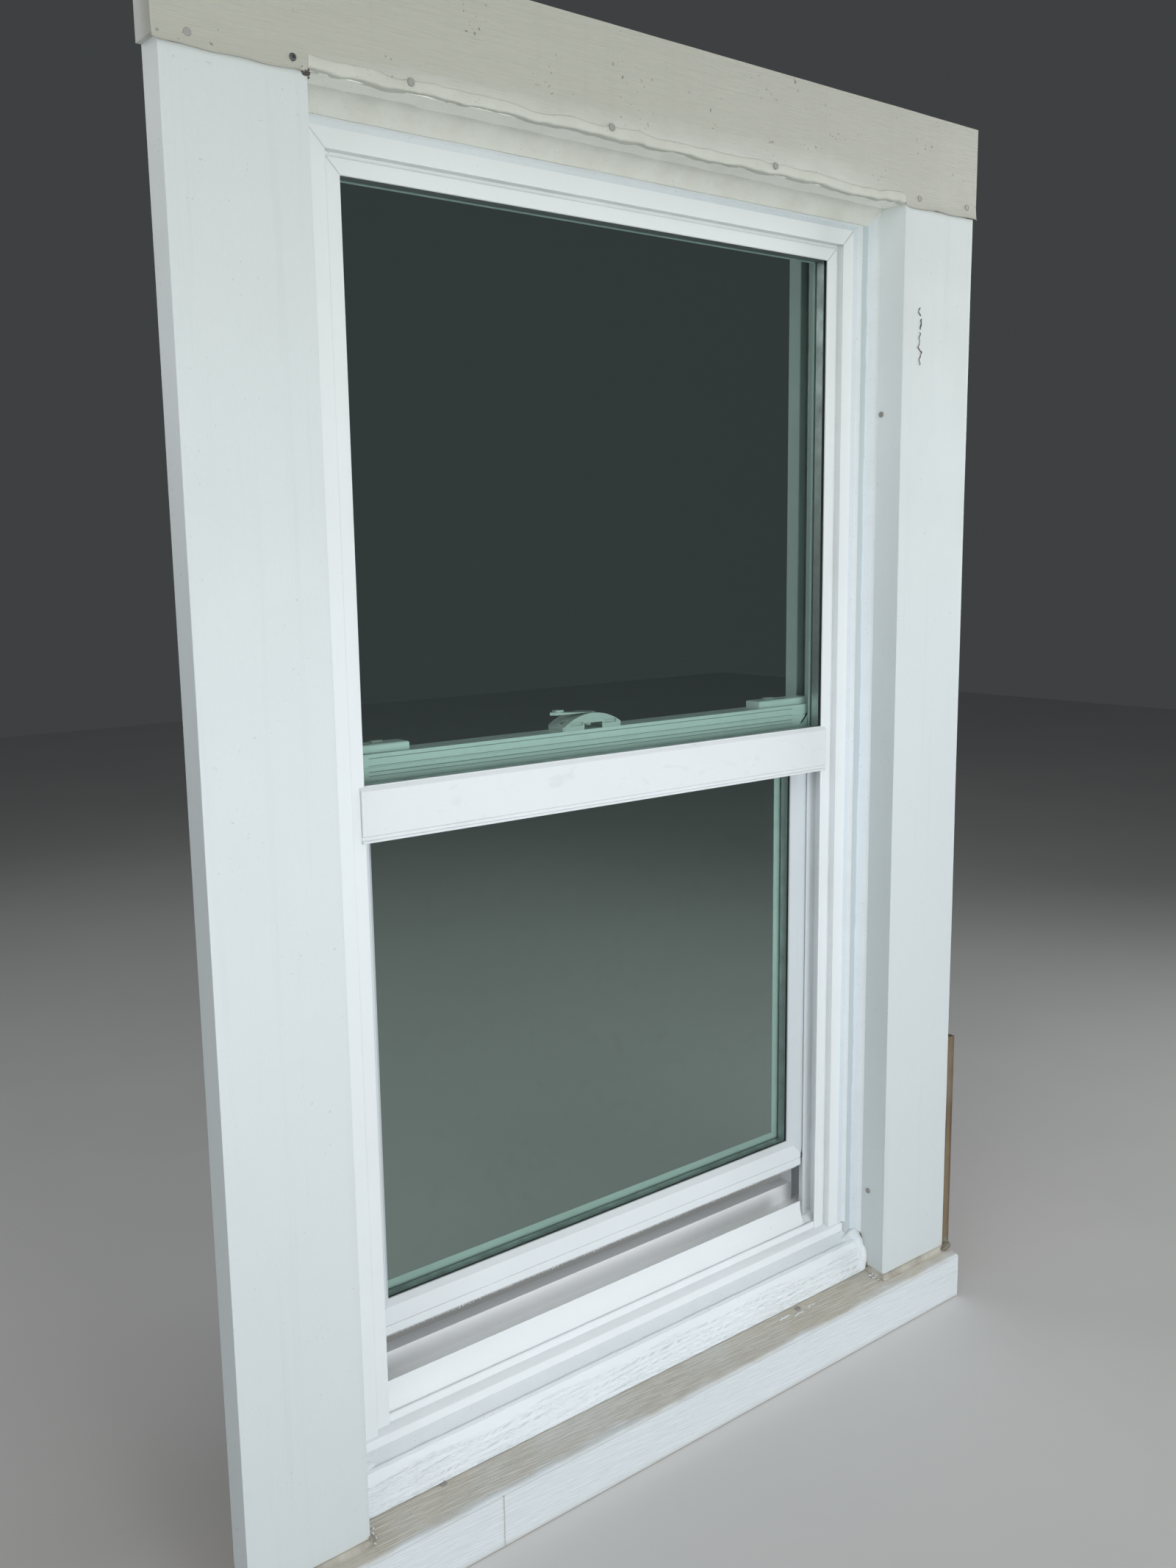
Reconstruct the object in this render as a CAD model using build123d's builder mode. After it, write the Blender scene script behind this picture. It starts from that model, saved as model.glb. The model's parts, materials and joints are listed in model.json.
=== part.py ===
"""Single-hung vinyl sash window in its old wooden frame, with metal-clad casings and sill.

X runs along the wall, to the right as seen from outside. Y runs into the wall, and is 0 at the
face of the side casings. Z is up, and is 0 at the flat bottom of the wooden sill. Millimetres.
"""

from build123d import *
import os
from math import cos, radians, tan

os.makedirs("parts", exist_ok=True)

# Daylight opening and the fixed rail
clear_width = 628.0        # between the glazing beads of the two jambs
clear_height = 1165.4      # from the trough of the sill up to the bead of the head
rail_above_trough = 578.2  # underside of the fixed meeting rail
rail_height = 54.0

# Section of the vinyl frame, out from the daylight opening and into the wall
vinyl = 2.0                # wall of every hollow section
bead_width = 14.0          # glazing bead, as seen from outside
bead_groove = 4.0          # shadow line between the bead and the proud face
proud_width = 24.0         # face that stands proud of the bead
hidden_width = 15.0        # flange that lies behind the blind stop
face_y = 53.0              # proud face
bead_back = 7.0            # bead behind the proud face
bead_thickness = 3.0
flange_back = 9.0          # flange behind the proud face
frame_depth = 82.5
fin_thickness = 2.0

# Sealed glass units
pane = 3.2
air_gap = 10.4
bedding = 0.4              # tape on each side of a unit
spacer_height = 7.0
spacer_inset = 1.5         # spacer from the edge of the glass
glass_bite = 12.0          # depth of the pockets that hold the units
edge_gap = 3.0             # between a unit's edge and its pocket
block_length = 60.0        # setting blocks

# Sliding sash
sash_lap = 19.2            # top of the closed sash above the underside of the fixed rail
sash_raise = 59.0          # how far the sash stands open
sash_floor_gap = 5.4       # under the closed sash
sash_side_gap = 2.5
sash_depth = 33.0
sash_face = 36.5           # outside face of each bar
sash_leg = 7.8             # outside leg that the glass beds against
inner_bead_rise = 8.0      # inside bead beyond the sight line of the outside leg
top_rail_back = 4.0        # outside face of the top rail behind the stiles
pile_gap = 1.4             # between the frame's fin and the sash
pivot_up = 25.5            # pivot above the bottom of the sash
pivot_in = 6.0             # pivot from the inside face of the sash
sash_head_room = 32.0      # left above the sash when it is fully up
heel_x = 1.5               # tilting heel of the sash, in from the daylight edge

# Sill section
seat_height = 109.5        # bed of the vinyl sill above the base
sill_depth_up = 30.6       # bed to trough
sill_nose_out = 3.0        # nose in front of the proud face
dam_height = 23.5
dam_thickness = 16.5
lip_height = 23.5          # outside lip of the sill
lip_y = 73.0
lip_thickness = 2.4
lip_short = 13.0           # how far the lip stops short of the daylight edge on the right

# Balance channel in each jamb
channel_depth = 27.0
channel_width = 24.0
slot_width = 14.0
tube_radius = 8.0
rod_radius = 3.0
running = 0.05             # radial play of turning fits
play = 0.3                 # play of sliding fits

# Wood, metal cladding and trim
sheet = 0.5
casing_width = 124.0
casing_thickness = 28.0
casing_to_bead = 61.0      # casing's inner edge from the daylight edge, at the sides
head_to_bead = 59.5        # the same at the head
head_casing_height = 97.5
head_overhang = 4.5
head_flap = 3.5            # cladding of the head laps over the side casings
stop_front = 46.0          # clad face of the blind stop
stop_edge = 42.0           # its inner edge from the daylight edge
board = 20.0               # wooden jambs and head
board_back = 142.0
sill_nose_y = -21.0
sill_nose_height = 57.0
sill_slope = 10.0          # degrees
sill_overhang = 7.0        # sill beyond the casings
nose_round = 4.0
nose_hem = 0.2             # lower edge of the sill's cladding above the base
riser_foot_y = 24.0
riser_top_y = 36.0
riser_gap = 5.0            # top of the riser under the bed
foot_gap = 2.6             # sealed joint under the casings

# Places that follow from the sizes above
sight_x = clear_width / 2
trough_z = seat_height + sill_depth_up
head_z = trough_z + clear_height
bead_y = face_y + bead_back
pocket_y = bead_y + bead_thickness
unit_depth = 2 * pane + air_gap
fin_y = pocket_y + unit_depth + 2 * bedding
fin_back = fin_y + fin_thickness
flange_y = face_y + flange_back
back_y = face_y + frame_depth
proud_in = bead_width + bead_groove
proud_out = proud_in + proud_width
frame_face = proud_out + hidden_width
frame_x = sight_x + frame_face
run_x = sight_x + proud_in
rail_z = trough_z + rail_above_trough
rail_top = rail_z + rail_height

sash_y = fin_back + pile_gap
sash_back = sash_y + sash_depth
sash_x = run_x - sash_side_gap
sash_closed = trough_z + sash_floor_gap
closed_top = rail_z + sash_lap
sash_height = closed_top - sash_closed
sash_z = sash_closed + sash_raise
sash_top = sash_z + sash_height
pivot_y = sash_back - pivot_in
pivot_z = sash_z + pivot_up
tilt_room = 1.0            # over the tilted sash when it is fully up
rail_pile_z = rail_z + 4.0
sash_travel = min(head_z - sash_head_room - closed_top,
                  rail_pile_z - tilt_room - (pivot_y - sash_y) - sash_closed - pivot_up)

casing_in = sight_x + casing_to_bead
casing_out = casing_in + casing_width
casing_low_head = head_z + head_to_bead
head_casing_top = casing_low_head + head_casing_height
stop_x = sight_x + stop_edge
board_in = casing_in + sheet
casing_back = sheet + casing_thickness
head_end = casing_out + head_overhang
sill_end = casing_out + sill_overhang
board_out = board_in + board
head_board_z = casing_low_head + sheet
slope = tan(radians(sill_slope))
sheet_rise = sheet / cos(radians(sill_slope))
riser_top_z = seat_height - riser_gap


def sill_top(y):
    """Height of the wooden sill's sloping top at a depth."""
    return sill_nose_height + (y - sill_nose_y) * slope


def fill(points, mode=Mode.ADD):
    """Fill a closed outline in the sketch that is being drawn."""
    with BuildLine() as path:
        Polyline(*points, close=True)
    make_face(path.edges(), mode=mode)


def block(low, high, mode=Mode.ADD):
    """Fill the rectangle between two opposite corners."""
    fill([low, (high[0], low[1]), high, (low[0], high[1])], mode)


def folded(run, thickness):
    """Outline of a folded sheet whose face follows the run, with its thickness on the left."""
    legs = [(Vector(*b) - Vector(*a)).normalized() for a, b in zip(run, run[1:])]
    normals = [Vector(-leg.Y, leg.X) for leg in legs]
    inner = [Vector(*run[0]) + normals[0] * thickness]
    for corner, before, after in zip(run[1:-1], normals, normals[1:]):
        inner.append(Vector(*corner) + (before + after) * (thickness / (1 + before.dot(after))))
    inner.append(Vector(*run[-1]) + normals[-1] * thickness)
    return list(run) + [(point.X, point.Y) for point in reversed(inner)]


def finish(piece, name):
    """Label a finished piece and write it to its own file."""
    piece.part.label = name
    export_step(piece.part, f"parts/{name}.step")


SIDES = ((-1, "left"), (1, "right"))

# Section shared by the jambs and the head: out from the daylight edge, then depth
frame_outline = [
    (proud_in, face_y), (proud_out, face_y), (proud_out, flange_y), (frame_face, flange_y),
    (frame_face, back_y), (proud_in, back_y), (proud_in, fin_back), (0, fin_back), (0, fin_y),
    (bead_width, fin_y), (bead_width, flange_y), (proud_in, flange_y),
]
web_u = proud_out - 3 * vinyl
channel_y0 = pivot_y - channel_width / 2
channel_y1 = pivot_y + channel_width / 2
channel_u1 = proud_in + vinyl + channel_depth
outer_u = frame_face - vinyl
front_chambers = [
    ((proud_in + vinyl, face_y + vinyl), (proud_out - vinyl, flange_y)),
    ((bead_width + vinyl, flange_y + vinyl), (web_u - vinyl / 2, fin_y)),
    ((web_u + vinyl / 2, flange_y + vinyl), (outer_u, fin_y)),
]
jamb_chambers = front_chambers + [
    ((proud_in + vinyl, fin_back), (web_u - vinyl / 2, channel_y0 - vinyl)),
    ((web_u + vinyl / 2, fin_back), (outer_u, channel_y0 - vinyl)),
    ((channel_u1 + vinyl, channel_y0), (outer_u, channel_y1)),
    ((proud_in + vinyl, channel_y1 + vinyl), (outer_u, back_y - vinyl)),
]
head_web_y = (fin_back + back_y) / 2
head_chambers = front_chambers + [
    ((proud_in + vinyl, fin_back), (outer_u, head_web_y - vinyl / 2)),
    ((proud_in + vinyl, head_web_y + vinyl / 2), (outer_u, back_y - vinyl)),
]

# Sill contour from the nose to the trough, which the jambs stand on
nose_y = face_y - sill_nose_out
nose_bottom = seat_height + 5.0
band_z = trough_z - 12.3
step_z = trough_z - 4.5
sill_front = [(nose_y, nose_bottom), (nose_y, band_z - 3.6), (nose_y + 0.8, band_z - 2.8), (flange_y, band_z)]
sill_step = [
    (flange_y, band_z), (flange_y + 0.4, step_z - 1.2), (flange_y + 1.6, step_z), (flange_y + 2.8, step_z),
    (flange_y + 4.2, step_z - 1.4), (lip_y + lip_thickness, trough_z),
]
dam_y = back_y - dam_thickness

# Free holes for the screws that go through the vinyl jamb, shim and board into the wall
screw_y = (fin_back + channel_y0 - vinyl) / 2
wall_hole_radius = 3.0
access_radius = 5.5        # for the screw's head, in the inner wall only
wall_hole_inset = 170.0    # from the trough and from the head
wall_hole_heights = [trough_z + wall_hole_inset, head_z - wall_hole_inset]
shim_height = 40.0
shim_depth = 44.0
shim_shift = 11.0          # middle of each shim behind its hole


# Vinyl jambs, mitred at the head and coped over the sill
for side, hand in SIDES:
    with BuildPart() as jamb:
        with BuildSketch(Plane.XY.offset(seat_height)):
            fill([(side * (sight_x + u), y) for u, y in frame_outline])
            for (u0, y0), (u1, y1) in jamb_chambers:
                block((side * (sight_x + u0), y0), (side * (sight_x + u1), y1), Mode.SUBTRACT)
            block((side * (run_x + vinyl), channel_y0), (side * (sight_x + channel_u1), channel_y1), Mode.SUBTRACT)
            block((side * run_x, pivot_y - slot_width / 2), (side * (run_x + vinyl), pivot_y + slot_width / 2),
                  Mode.SUBTRACT)
        extrude(amount=head_z + frame_face - seat_height)
        split(bisect_by=Plane(origin=(side * sight_x, 0, head_z), z_dir=(side, 0, -1)), keep=Keep.TOP)
        with BuildSketch(Plane.YZ.offset(side * (sight_x - 1))):
            fill(sill_front + sill_step[1:] + [(back_y + 1, trough_z), (back_y + 1, 0), (nose_y, 0)])
        extrude(amount=side * (frame_face + 2), mode=Mode.SUBTRACT)
        for z in wall_hole_heights:
            with BuildSketch(Plane.YZ.offset(side * run_x)):
                with Locations((screw_y, z)):
                    Circle(access_radius)
            extrude(amount=side * vinyl, mode=Mode.SUBTRACT)
            with BuildSketch(Plane.YZ.offset(side * run_x)):
                with Locations((screw_y, z)):
                    Circle(wall_hole_radius)
            extrude(amount=side * frame_face, mode=Mode.SUBTRACT)
    finish(jamb, f"frame_jamb_{hand}")

# Vinyl head, mitred at both ends
with BuildPart() as head:
    with BuildSketch(Plane.YZ.offset(-frame_x)):
        fill([(y, head_z + u) for u, y in frame_outline])
        for (u0, y0), (u1, y1) in head_chambers:
            block((y0, head_z + u0), (y1, head_z + u1), Mode.SUBTRACT)
    extrude(amount=2 * frame_x)
    for side, hand in SIDES:
        split(bisect_by=Plane(origin=(side * sight_x, 0, head_z), z_dir=(-side, 0, 1)), keep=Keep.TOP)
finish(head, "frame_head")

# Vinyl sill: hollow base, nose between the blind stops, dam and lip between the jambs
lip_left = -(sight_x - play)
lip_right = sight_x - lip_short
with BuildPart() as vinyl_sill:
    with BuildSketch(Plane.YZ.offset(-frame_x)):
        fill(sill_step + [(back_y, trough_z), (back_y, seat_height), (flange_y, seat_height)])
        block((flange_y + vinyl, seat_height + vinyl), (lip_y, band_z - 1), Mode.SUBTRACT)
        for low, high in ((0.0, 0.34), (0.34, 0.67), (0.67, 1.0)):
            span = back_y - vinyl - lip_y
            block((lip_y + vinyl + low * span, seat_height + vinyl), (lip_y + high * span, trough_z - vinyl),
                  Mode.SUBTRACT)
    extrude(amount=2 * frame_x)
    with BuildSketch(Plane.YZ.offset(-(stop_x - play))):
        fill(sill_front + [(flange_y, seat_height), (flange_y - 4, seat_height), (flange_y - 4, nose_bottom)])
        block((nose_y + vinyl, nose_bottom + vinyl), (flange_y, band_z - 3.6 - vinyl), Mode.SUBTRACT)
    extrude(amount=2 * (stop_x - play))
    with BuildSketch(Plane.YZ.offset(-(run_x - play / 2))):
        block((dam_y, trough_z), (back_y, trough_z + dam_height))
        block((dam_y + vinyl, trough_z + vinyl), (back_y - vinyl, trough_z + dam_height - vinyl), Mode.SUBTRACT)
    extrude(amount=2 * (run_x - play / 2))
    with BuildSketch(Plane.YZ.offset(lip_left)):
        with BuildLine():
            Line((flange_y + 4.2, step_z - 1.4), (lip_y + lip_thickness, trough_z))
            Line((lip_y + lip_thickness, trough_z), (lip_y + lip_thickness, trough_z + lip_height))
            Line((lip_y + lip_thickness, trough_z + lip_height), (lip_y + 0.6, trough_z + lip_height))
            ThreePointArc((lip_y + 0.6, trough_z + lip_height), (lip_y - 1.6, trough_z + 7.0),
                          (flange_y + 4.2, step_z - 1.4))
        make_face()
    extrude(amount=lip_right - lip_left)
finish(vinyl_sill, "frame_sill")

# Glazing beads that hold the fixed light from outside, and run on down as the screen track
bead_outline = [
    (0.0, bead_y + 0.8), (0.8, bead_y), (bead_width, bead_y), (bead_width, bead_y + 15.0),
    (bead_width - vinyl, bead_y + 15.0), (bead_width - vinyl, pocket_y), (0.8, pocket_y), (0.0, pocket_y - 0.8),
]
for side, hand in SIDES:
    with BuildPart() as bead:
        with BuildSketch(Plane.XY.offset(seat_height)):
            fill([(side * (sight_x + u), y) for u, y in bead_outline])
        extrude(amount=head_z + bead_width - seat_height)
        split(bisect_by=Plane(origin=(side * sight_x, 0, head_z), z_dir=(side, 0, -1)), keep=Keep.TOP)
        with BuildSketch(Plane.YZ.offset(side * (sight_x - 1))):
            fill(sill_front + sill_step[1:] + [(back_y, trough_z), (back_y, 0), (nose_y, 0)])
        extrude(amount=side * (frame_face + 2), mode=Mode.SUBTRACT)
    finish(bead, f"glazing_bead_{hand}")
with BuildPart() as head_bead:
    with BuildSketch(Plane.YZ.offset(-frame_x)):
        fill([(y, head_z + u) for u, y in bead_outline])
    extrude(amount=2 * frame_x)
    for side, hand in SIDES:
        split(bisect_by=Plane(origin=(side * sight_x, 0, head_z), z_dir=(-side, 0, 1)), keep=Keep.TOP)
finish(head_bead, "glazing_bead_head")

# Cam lock and keeper, where they meet
lock_x = -17.0
lock_length = 80.0
lock_screw_edge = 8.0      # screw seats from the ends of the lock
lock_screw_seat = 4.0
lock_screw_x = lock_length / 2 - lock_screw_edge
hub_y = sash_y + top_rail_back + 11.0
hook_outer = 16.0
hook_inner = 14.0
hook_z = 3.5               # hook above the top of the sash
hook_thickness = 3.0
keeper_half = 5.0
keeper_base = 1.5
keeper_wall = 2.0
lip_front = hub_y - (hook_inner ** 2 - keeper_half ** 2) ** 0.5 + play
keeper_low = closed_top + hook_z - play
keeper_high = closed_top + hook_z + hook_thickness + play
keeper_middle = (keeper_low + keeper_high) / 2
keeper_length = 32.0
keeper_height = 12.0

# Fixed meeting rail: bevelled top, grooved foot, hollow, coped over the side beads
rail_y = bead_y - 3.0
cope = 5.5
bevel = 5.0
pocket_floor = rail_top - glass_bite
with BuildPart() as meeting_rail:
    with BuildSketch(Plane.YZ.offset(-(sight_x + cope))):
        fill([
            (bead_y, rail_z), (rail_y + 0.6, rail_z), (rail_y, rail_z + 0.6), (rail_y, rail_z + 2.4),
            (rail_y + 1.8, rail_z + 3.2), (rail_y + 1.8, rail_z + 6.0), (rail_y, rail_z + 7.0),
            (rail_y, rail_top - bevel), (bead_y, rail_top - 0.8),
        ])
    extrude(amount=2 * (sight_x + cope))
    with BuildSketch(Plane.YZ.offset(-sight_x)):
        block((bead_y, rail_z), (pocket_y, rail_top))
    extrude(amount=2 * sight_x)
    with BuildSketch(Plane.YZ.offset(-(sight_x + bead_width - vinyl))):
        block((pocket_y, rail_z), (fin_y, pocket_floor))
        block((pocket_y + vinyl, rail_z + vinyl), (fin_y - vinyl, rail_z + 15), Mode.SUBTRACT)
        block((pocket_y + vinyl, rail_z + 15 + vinyl), (fin_y - vinyl, pocket_floor - vinyl), Mode.SUBTRACT)
    extrude(amount=2 * (sight_x + bead_width - vinyl))
finish(meeting_rail, "meeting_rail")


def glass_unit(name, half_width, low, high, front):
    """Two panes and the spacer between them."""
    for layer, y in (("outer", front), ("inner", front + pane + air_gap)):
        with BuildPart() as glass:
            with BuildSketch(Plane.XZ.offset(-y)):
                block((-half_width, low), (half_width, high))
            extrude(amount=-pane)
        finish(glass, f"{name}_pane_{layer}")
    with BuildPart() as spacer:
        with BuildSketch(Plane.XZ.offset(-(front + pane))):
            near = spacer_inset
            rim = spacer_inset + spacer_height
            block((-half_width + near, low + near), (half_width - near, high - near))
            block((-half_width + rim, low + rim), (half_width - rim, high - rim), Mode.SUBTRACT)
        extrude(amount=-air_gap)
    finish(spacer, f"{name}_spacer")
    with BuildPart() as setting_blocks:
        with BuildSketch(Plane.XY.offset(low - edge_gap)):
            with Locations((-half_width / 2, front + unit_depth / 2), (half_width / 2, front + unit_depth / 2)):
                Rectangle(block_length, unit_depth)
        extrude(amount=edge_gap)
    finish(setting_blocks, f"{name}_setting_blocks")


# Fixed upper light
glass_unit("upper", sight_x + glass_bite - edge_gap, pocket_floor + edge_gap, head_z + glass_bite - edge_gap,
           pocket_y + bedding)

# Pile strips between the fixed frame and the sash
pile_play = 0.3
pile_width = 6.0
with BuildPart() as frame_pile:
    for side, hand in SIDES:
        with BuildSketch(Plane.XY.offset(trough_z + vinyl)):
            block((side * (sight_x + 3), fin_back), (side * (sight_x + 3 + pile_width), sash_y - pile_play))
        extrude(amount=clear_height - vinyl)
    with BuildSketch(Plane.YZ.offset(-(sash_x - sash_face - 4))):
        block((fin_y, rail_pile_z), (sash_y + top_rail_back - pile_play, rail_pile_z + pile_width))
    extrude(amount=2 * (sash_x - sash_face - 4))
finish(frame_pile, "frame_pile")

# Sash bars: section in from the outer edge, then depth
leg_y = sash_y + sash_leg
unit_y = leg_y + bedding / 2
unit_back = unit_y + unit_depth + bedding / 2
floor_v = sash_face - glass_bite
web_y = (sash_y + top_rail_back + sash_back) / 2
corner_x = sash_x - sash_face
groove_low = 7.0           # finger groove along the inside of the bottom rail
groove_high = 17.5
groove_depth = 7.0


def sash_outline(front):
    """Section of a sash bar whose outside face stands at the depth given."""
    return [
        (0.0, front), (sash_face - 5.5, front), (sash_face, leg_y - 1.8), (sash_face, leg_y),
        (floor_v, leg_y), (floor_v, sash_back), (0.0, sash_back),
    ]


def sash_chambers(front, back):
    """Hollows of the same section."""
    return [
        ((vinyl, front + vinyl), (floor_v - vinyl, web_y - vinyl / 2)),
        ((vinyl, web_y + vinyl / 2), (floor_v - vinyl, back)),
    ]


for side, hand in SIDES:
    with BuildPart() as stile:
        with BuildSketch(Plane.XY.offset(sash_z)):
            fill([(side * (sash_x - v), y) for v, y in sash_outline(sash_y)])
            for (v0, y0), (v1, y1) in sash_chambers(sash_y, sash_back - vinyl):
                block((side * (sash_x - v0), y0), (side * (sash_x - v1), y1), Mode.SUBTRACT)
        extrude(amount=sash_height)
        split(bisect_by=Plane(origin=(side * corner_x, 0, sash_z + sash_face), z_dir=(side, 0, 1)), keep=Keep.TOP)
        split(bisect_by=Plane(origin=(side * corner_x, 0, sash_top - sash_face), z_dir=(side, 0, -1)),
              keep=Keep.TOP)
        with BuildSketch(Plane.YZ.offset(side * (sight_x - heel_x))):
            block((sash_y - 1, sash_z - 1), (pivot_y, pivot_z))
            with Locations((pivot_y, pivot_z)):
                Circle(pivot_y - sash_y, mode=Mode.SUBTRACT)
        extrude(amount=side * sash_face, mode=Mode.SUBTRACT)
    finish(stile, f"sash_stile_{hand}")

for name, edge, up, front in (("bottom", sash_z, 1, sash_y), ("top", sash_top, -1, sash_y + top_rail_back)):
    with BuildPart() as rail:
        with BuildSketch(Plane.YZ.offset(-sash_x)):
            fill([(y, edge + up * v) for v, y in sash_outline(front)])
            back = sash_back - vinyl if name == "top" else sash_back - vinyl - groove_depth
            for (v0, y0), (v1, y1) in sash_chambers(front, back):
                block((y0, edge + up * v0), (y1, edge + up * v1), Mode.SUBTRACT)
            if name == "top":
                block((front, edge - 13.0), (front + 1.2, edge - 11.5), Mode.SUBTRACT)
            else:
                block((front, edge + 11.0), (front + 0.8, edge + 12.2), Mode.SUBTRACT)
                fill([(sash_back, edge + groove_low), (sash_back - groove_depth, edge + groove_low + 2),
                      (sash_back - groove_depth, edge + groove_high - 1), (sash_back, edge + groove_high)],
                     Mode.SUBTRACT)
        extrude(amount=2 * sash_x)
        for side, hand in SIDES:
            split(bisect_by=Plane(origin=(side * corner_x, 0, edge + up * sash_face), z_dir=(-side, 0, -up)),
                  keep=Keep.TOP)
            if name == "bottom":
                with BuildSketch(Plane.YZ.offset(side * (sight_x - heel_x))):
                    block((sash_y - 1, sash_z - 1), (pivot_y, pivot_z))
                    with Locations((pivot_y, pivot_z)):
                        Circle(pivot_y - sash_y, mode=Mode.SUBTRACT)
                extrude(amount=side * sash_face, mode=Mode.SUBTRACT)
        if name == "bottom":
            edges = rail.edges().filter_by(Axis.X)
            fillet(edges.sort_by_distance((0, front, edge))[0], 3.0)
    finish(rail, f"sash_{name}_rail")

# Inside glazing beads of the sash
bead_in = sash_face + inner_bead_rise
sash_bead_outline = [
    (floor_v, unit_back), (bead_in, unit_back), (bead_in, unit_back + 1.2), (bead_in - 3.0, unit_back + 4.0),
    (floor_v + 4.0, sash_back - 1.0), (floor_v, sash_back - 1.0),
]
bead_x = sash_x - bead_in
for side, hand in SIDES:
    with BuildPart() as sash_bead:
        with BuildSketch(Plane.XY.offset(sash_z + floor_v)):
            fill([(side * (sash_x - v), y) for v, y in sash_bead_outline])
        extrude(amount=sash_height - 2 * floor_v)
        split(bisect_by=Plane(origin=(side * bead_x, 0, sash_z + bead_in), z_dir=(side, 0, 1)), keep=Keep.TOP)
        split(bisect_by=Plane(origin=(side * bead_x, 0, sash_top - bead_in), z_dir=(side, 0, -1)), keep=Keep.TOP)
    finish(sash_bead, f"sash_bead_{hand}")
for name, edge, up in (("bottom", sash_z, 1), ("top", sash_top, -1)):
    with BuildPart() as sash_bead:
        with BuildSketch(Plane.YZ.offset(-(sash_x - floor_v))):
            fill([(y, edge + up * v) for v, y in sash_bead_outline])
        extrude(amount=2 * (sash_x - floor_v))
        for side, hand in SIDES:
            split(bisect_by=Plane(origin=(side * bead_x, 0, edge + up * bead_in), z_dir=(-side, 0, -up)),
                  keep=Keep.TOP)
    finish(sash_bead, f"sash_bead_{name}")

# Sealed unit of the sash
glass_unit("lower", sash_x - floor_v - edge_gap, sash_z + floor_v + edge_gap, sash_top - floor_v - edge_gap, unit_y)

# Pile under the bottom rail
sweep_height = 2.5
with BuildPart() as sash_pile:
    with BuildSketch(Plane.YZ.offset(-(sight_x - 2 * heel_x))):
        block((sash_y + 5, sash_z - sweep_height), (sash_y + 9, sash_z))
    extrude(amount=2 * (sight_x - 2 * heel_x))
finish(sash_pile, "sash_pile")

# Balance channel: tube hung at the head, rod, shoe with its turning cam, and the sash's pivot bar
shoe_x0 = run_x + vinyl + play
shoe_x1 = sight_x + channel_u1 - play
shoe_middle = (shoe_x0 + shoe_x1) / 2
shoe_half = channel_width / 2 - play
shoe_height = 44.0
shoe_up = 26.0             # top of the shoe above the pivot
cam_radius = 8.0
cam_length = 15.0
bar_size = 6.0
bar_slot = 0.1             # play of the bar in the cam
plate_thickness = 2.0
plate_width = 11.0
plate_height = 36.0
tube_wall = 1.2
tube_engaged = 6.0         # rod still inside the tube when the sash is shut
tube_bottom = pivot_z - sash_raise + sash_travel + shoe_up + tube_engaged
tube_top = head_z + proud_in - vinyl
rod_top = tube_bottom + sash_raise + tube_engaged
hanger = 10.0
for side, hand in SIDES:
    with BuildPart() as tube:
        with BuildSketch(Plane.XY.offset(tube_bottom)):
            with Locations((side * shoe_middle, pivot_y)):
                Circle(tube_radius)
                Circle(tube_radius - tube_wall, mode=Mode.SUBTRACT)
        extrude(amount=tube_top - tube_bottom)
        with BuildSketch(Plane.XY.offset(tube_top - hanger)):
            with Locations((side * shoe_middle, pivot_y)):
                Circle(tube_radius)
        extrude(amount=hanger)
        with BuildSketch(Plane.YZ.offset(side * (sight_x + channel_u1))):
            with Locations((pivot_y, tube_top - hanger / 2)):
                Rectangle(tube_radius, hanger)
        extrude(amount=-side * (sight_x + channel_u1 - shoe_middle))
    finish(tube, f"balance_tube_{hand}")
    with BuildPart() as rod:
        with BuildSketch(Plane.XY.offset(pivot_z + shoe_up)):
            with Locations((side * shoe_middle, pivot_y)):
                Circle(rod_radius)
        extrude(amount=rod_top - pivot_z - shoe_up)
    finish(rod, f"balance_rod_{hand}")
    with BuildPart() as shoe:
        with BuildSketch(Plane.XY.offset(pivot_z + shoe_up - shoe_height)):
            block((side * shoe_x0, pivot_y - shoe_half), (side * shoe_x1, pivot_y + shoe_half))
        extrude(amount=shoe_height)
        chamfer(shoe.edges().filter_by(Axis.Z), 2.0)
        with BuildSketch(Plane.YZ.offset(side * shoe_x0)):
            with Locations((pivot_y, pivot_z)):
                Circle(cam_radius + running)
        extrude(amount=side * (cam_length + 1), mode=Mode.SUBTRACT)
    finish(shoe, f"balance_shoe_{hand}")
    with BuildPart() as cam:
        with BuildSketch(Plane.YZ.offset(side * (shoe_x0 + play))):
            with Locations((pivot_y, pivot_z)):
                Circle(cam_radius)
            half = bar_size / 2 + bar_slot
            block((pivot_y - half, pivot_z - half), (pivot_y + half, pivot_z + cam_radius + 1), Mode.SUBTRACT)
        extrude(amount=side * (cam_length - 4))
        with BuildSketch(Plane.YZ.offset(side * (shoe_x0 + play + cam_length - 4))):
            with Locations((pivot_y, pivot_z)):
                Circle(cam_radius)
        extrude(amount=side * 4)
    finish(cam, f"balance_cam_{hand}")
    with BuildPart() as pivot_bar:
        with BuildSketch(Plane.YZ.offset(side * sash_x)):
            with Locations((pivot_y - 2, pivot_z + 8)):
                RectangleRounded(plate_width, plate_height, 3)
        extrude(amount=side * plate_thickness)
        with BuildSketch(Plane.YZ.offset(side * sash_x)):
            with Locations((pivot_y, pivot_z)):
                Rectangle(bar_size, bar_size)
        extrude(amount=side * (shoe_x0 + play + cam_length - 5 - sash_x))
    finish(pivot_bar, f"pivot_bar_{hand}")

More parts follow.
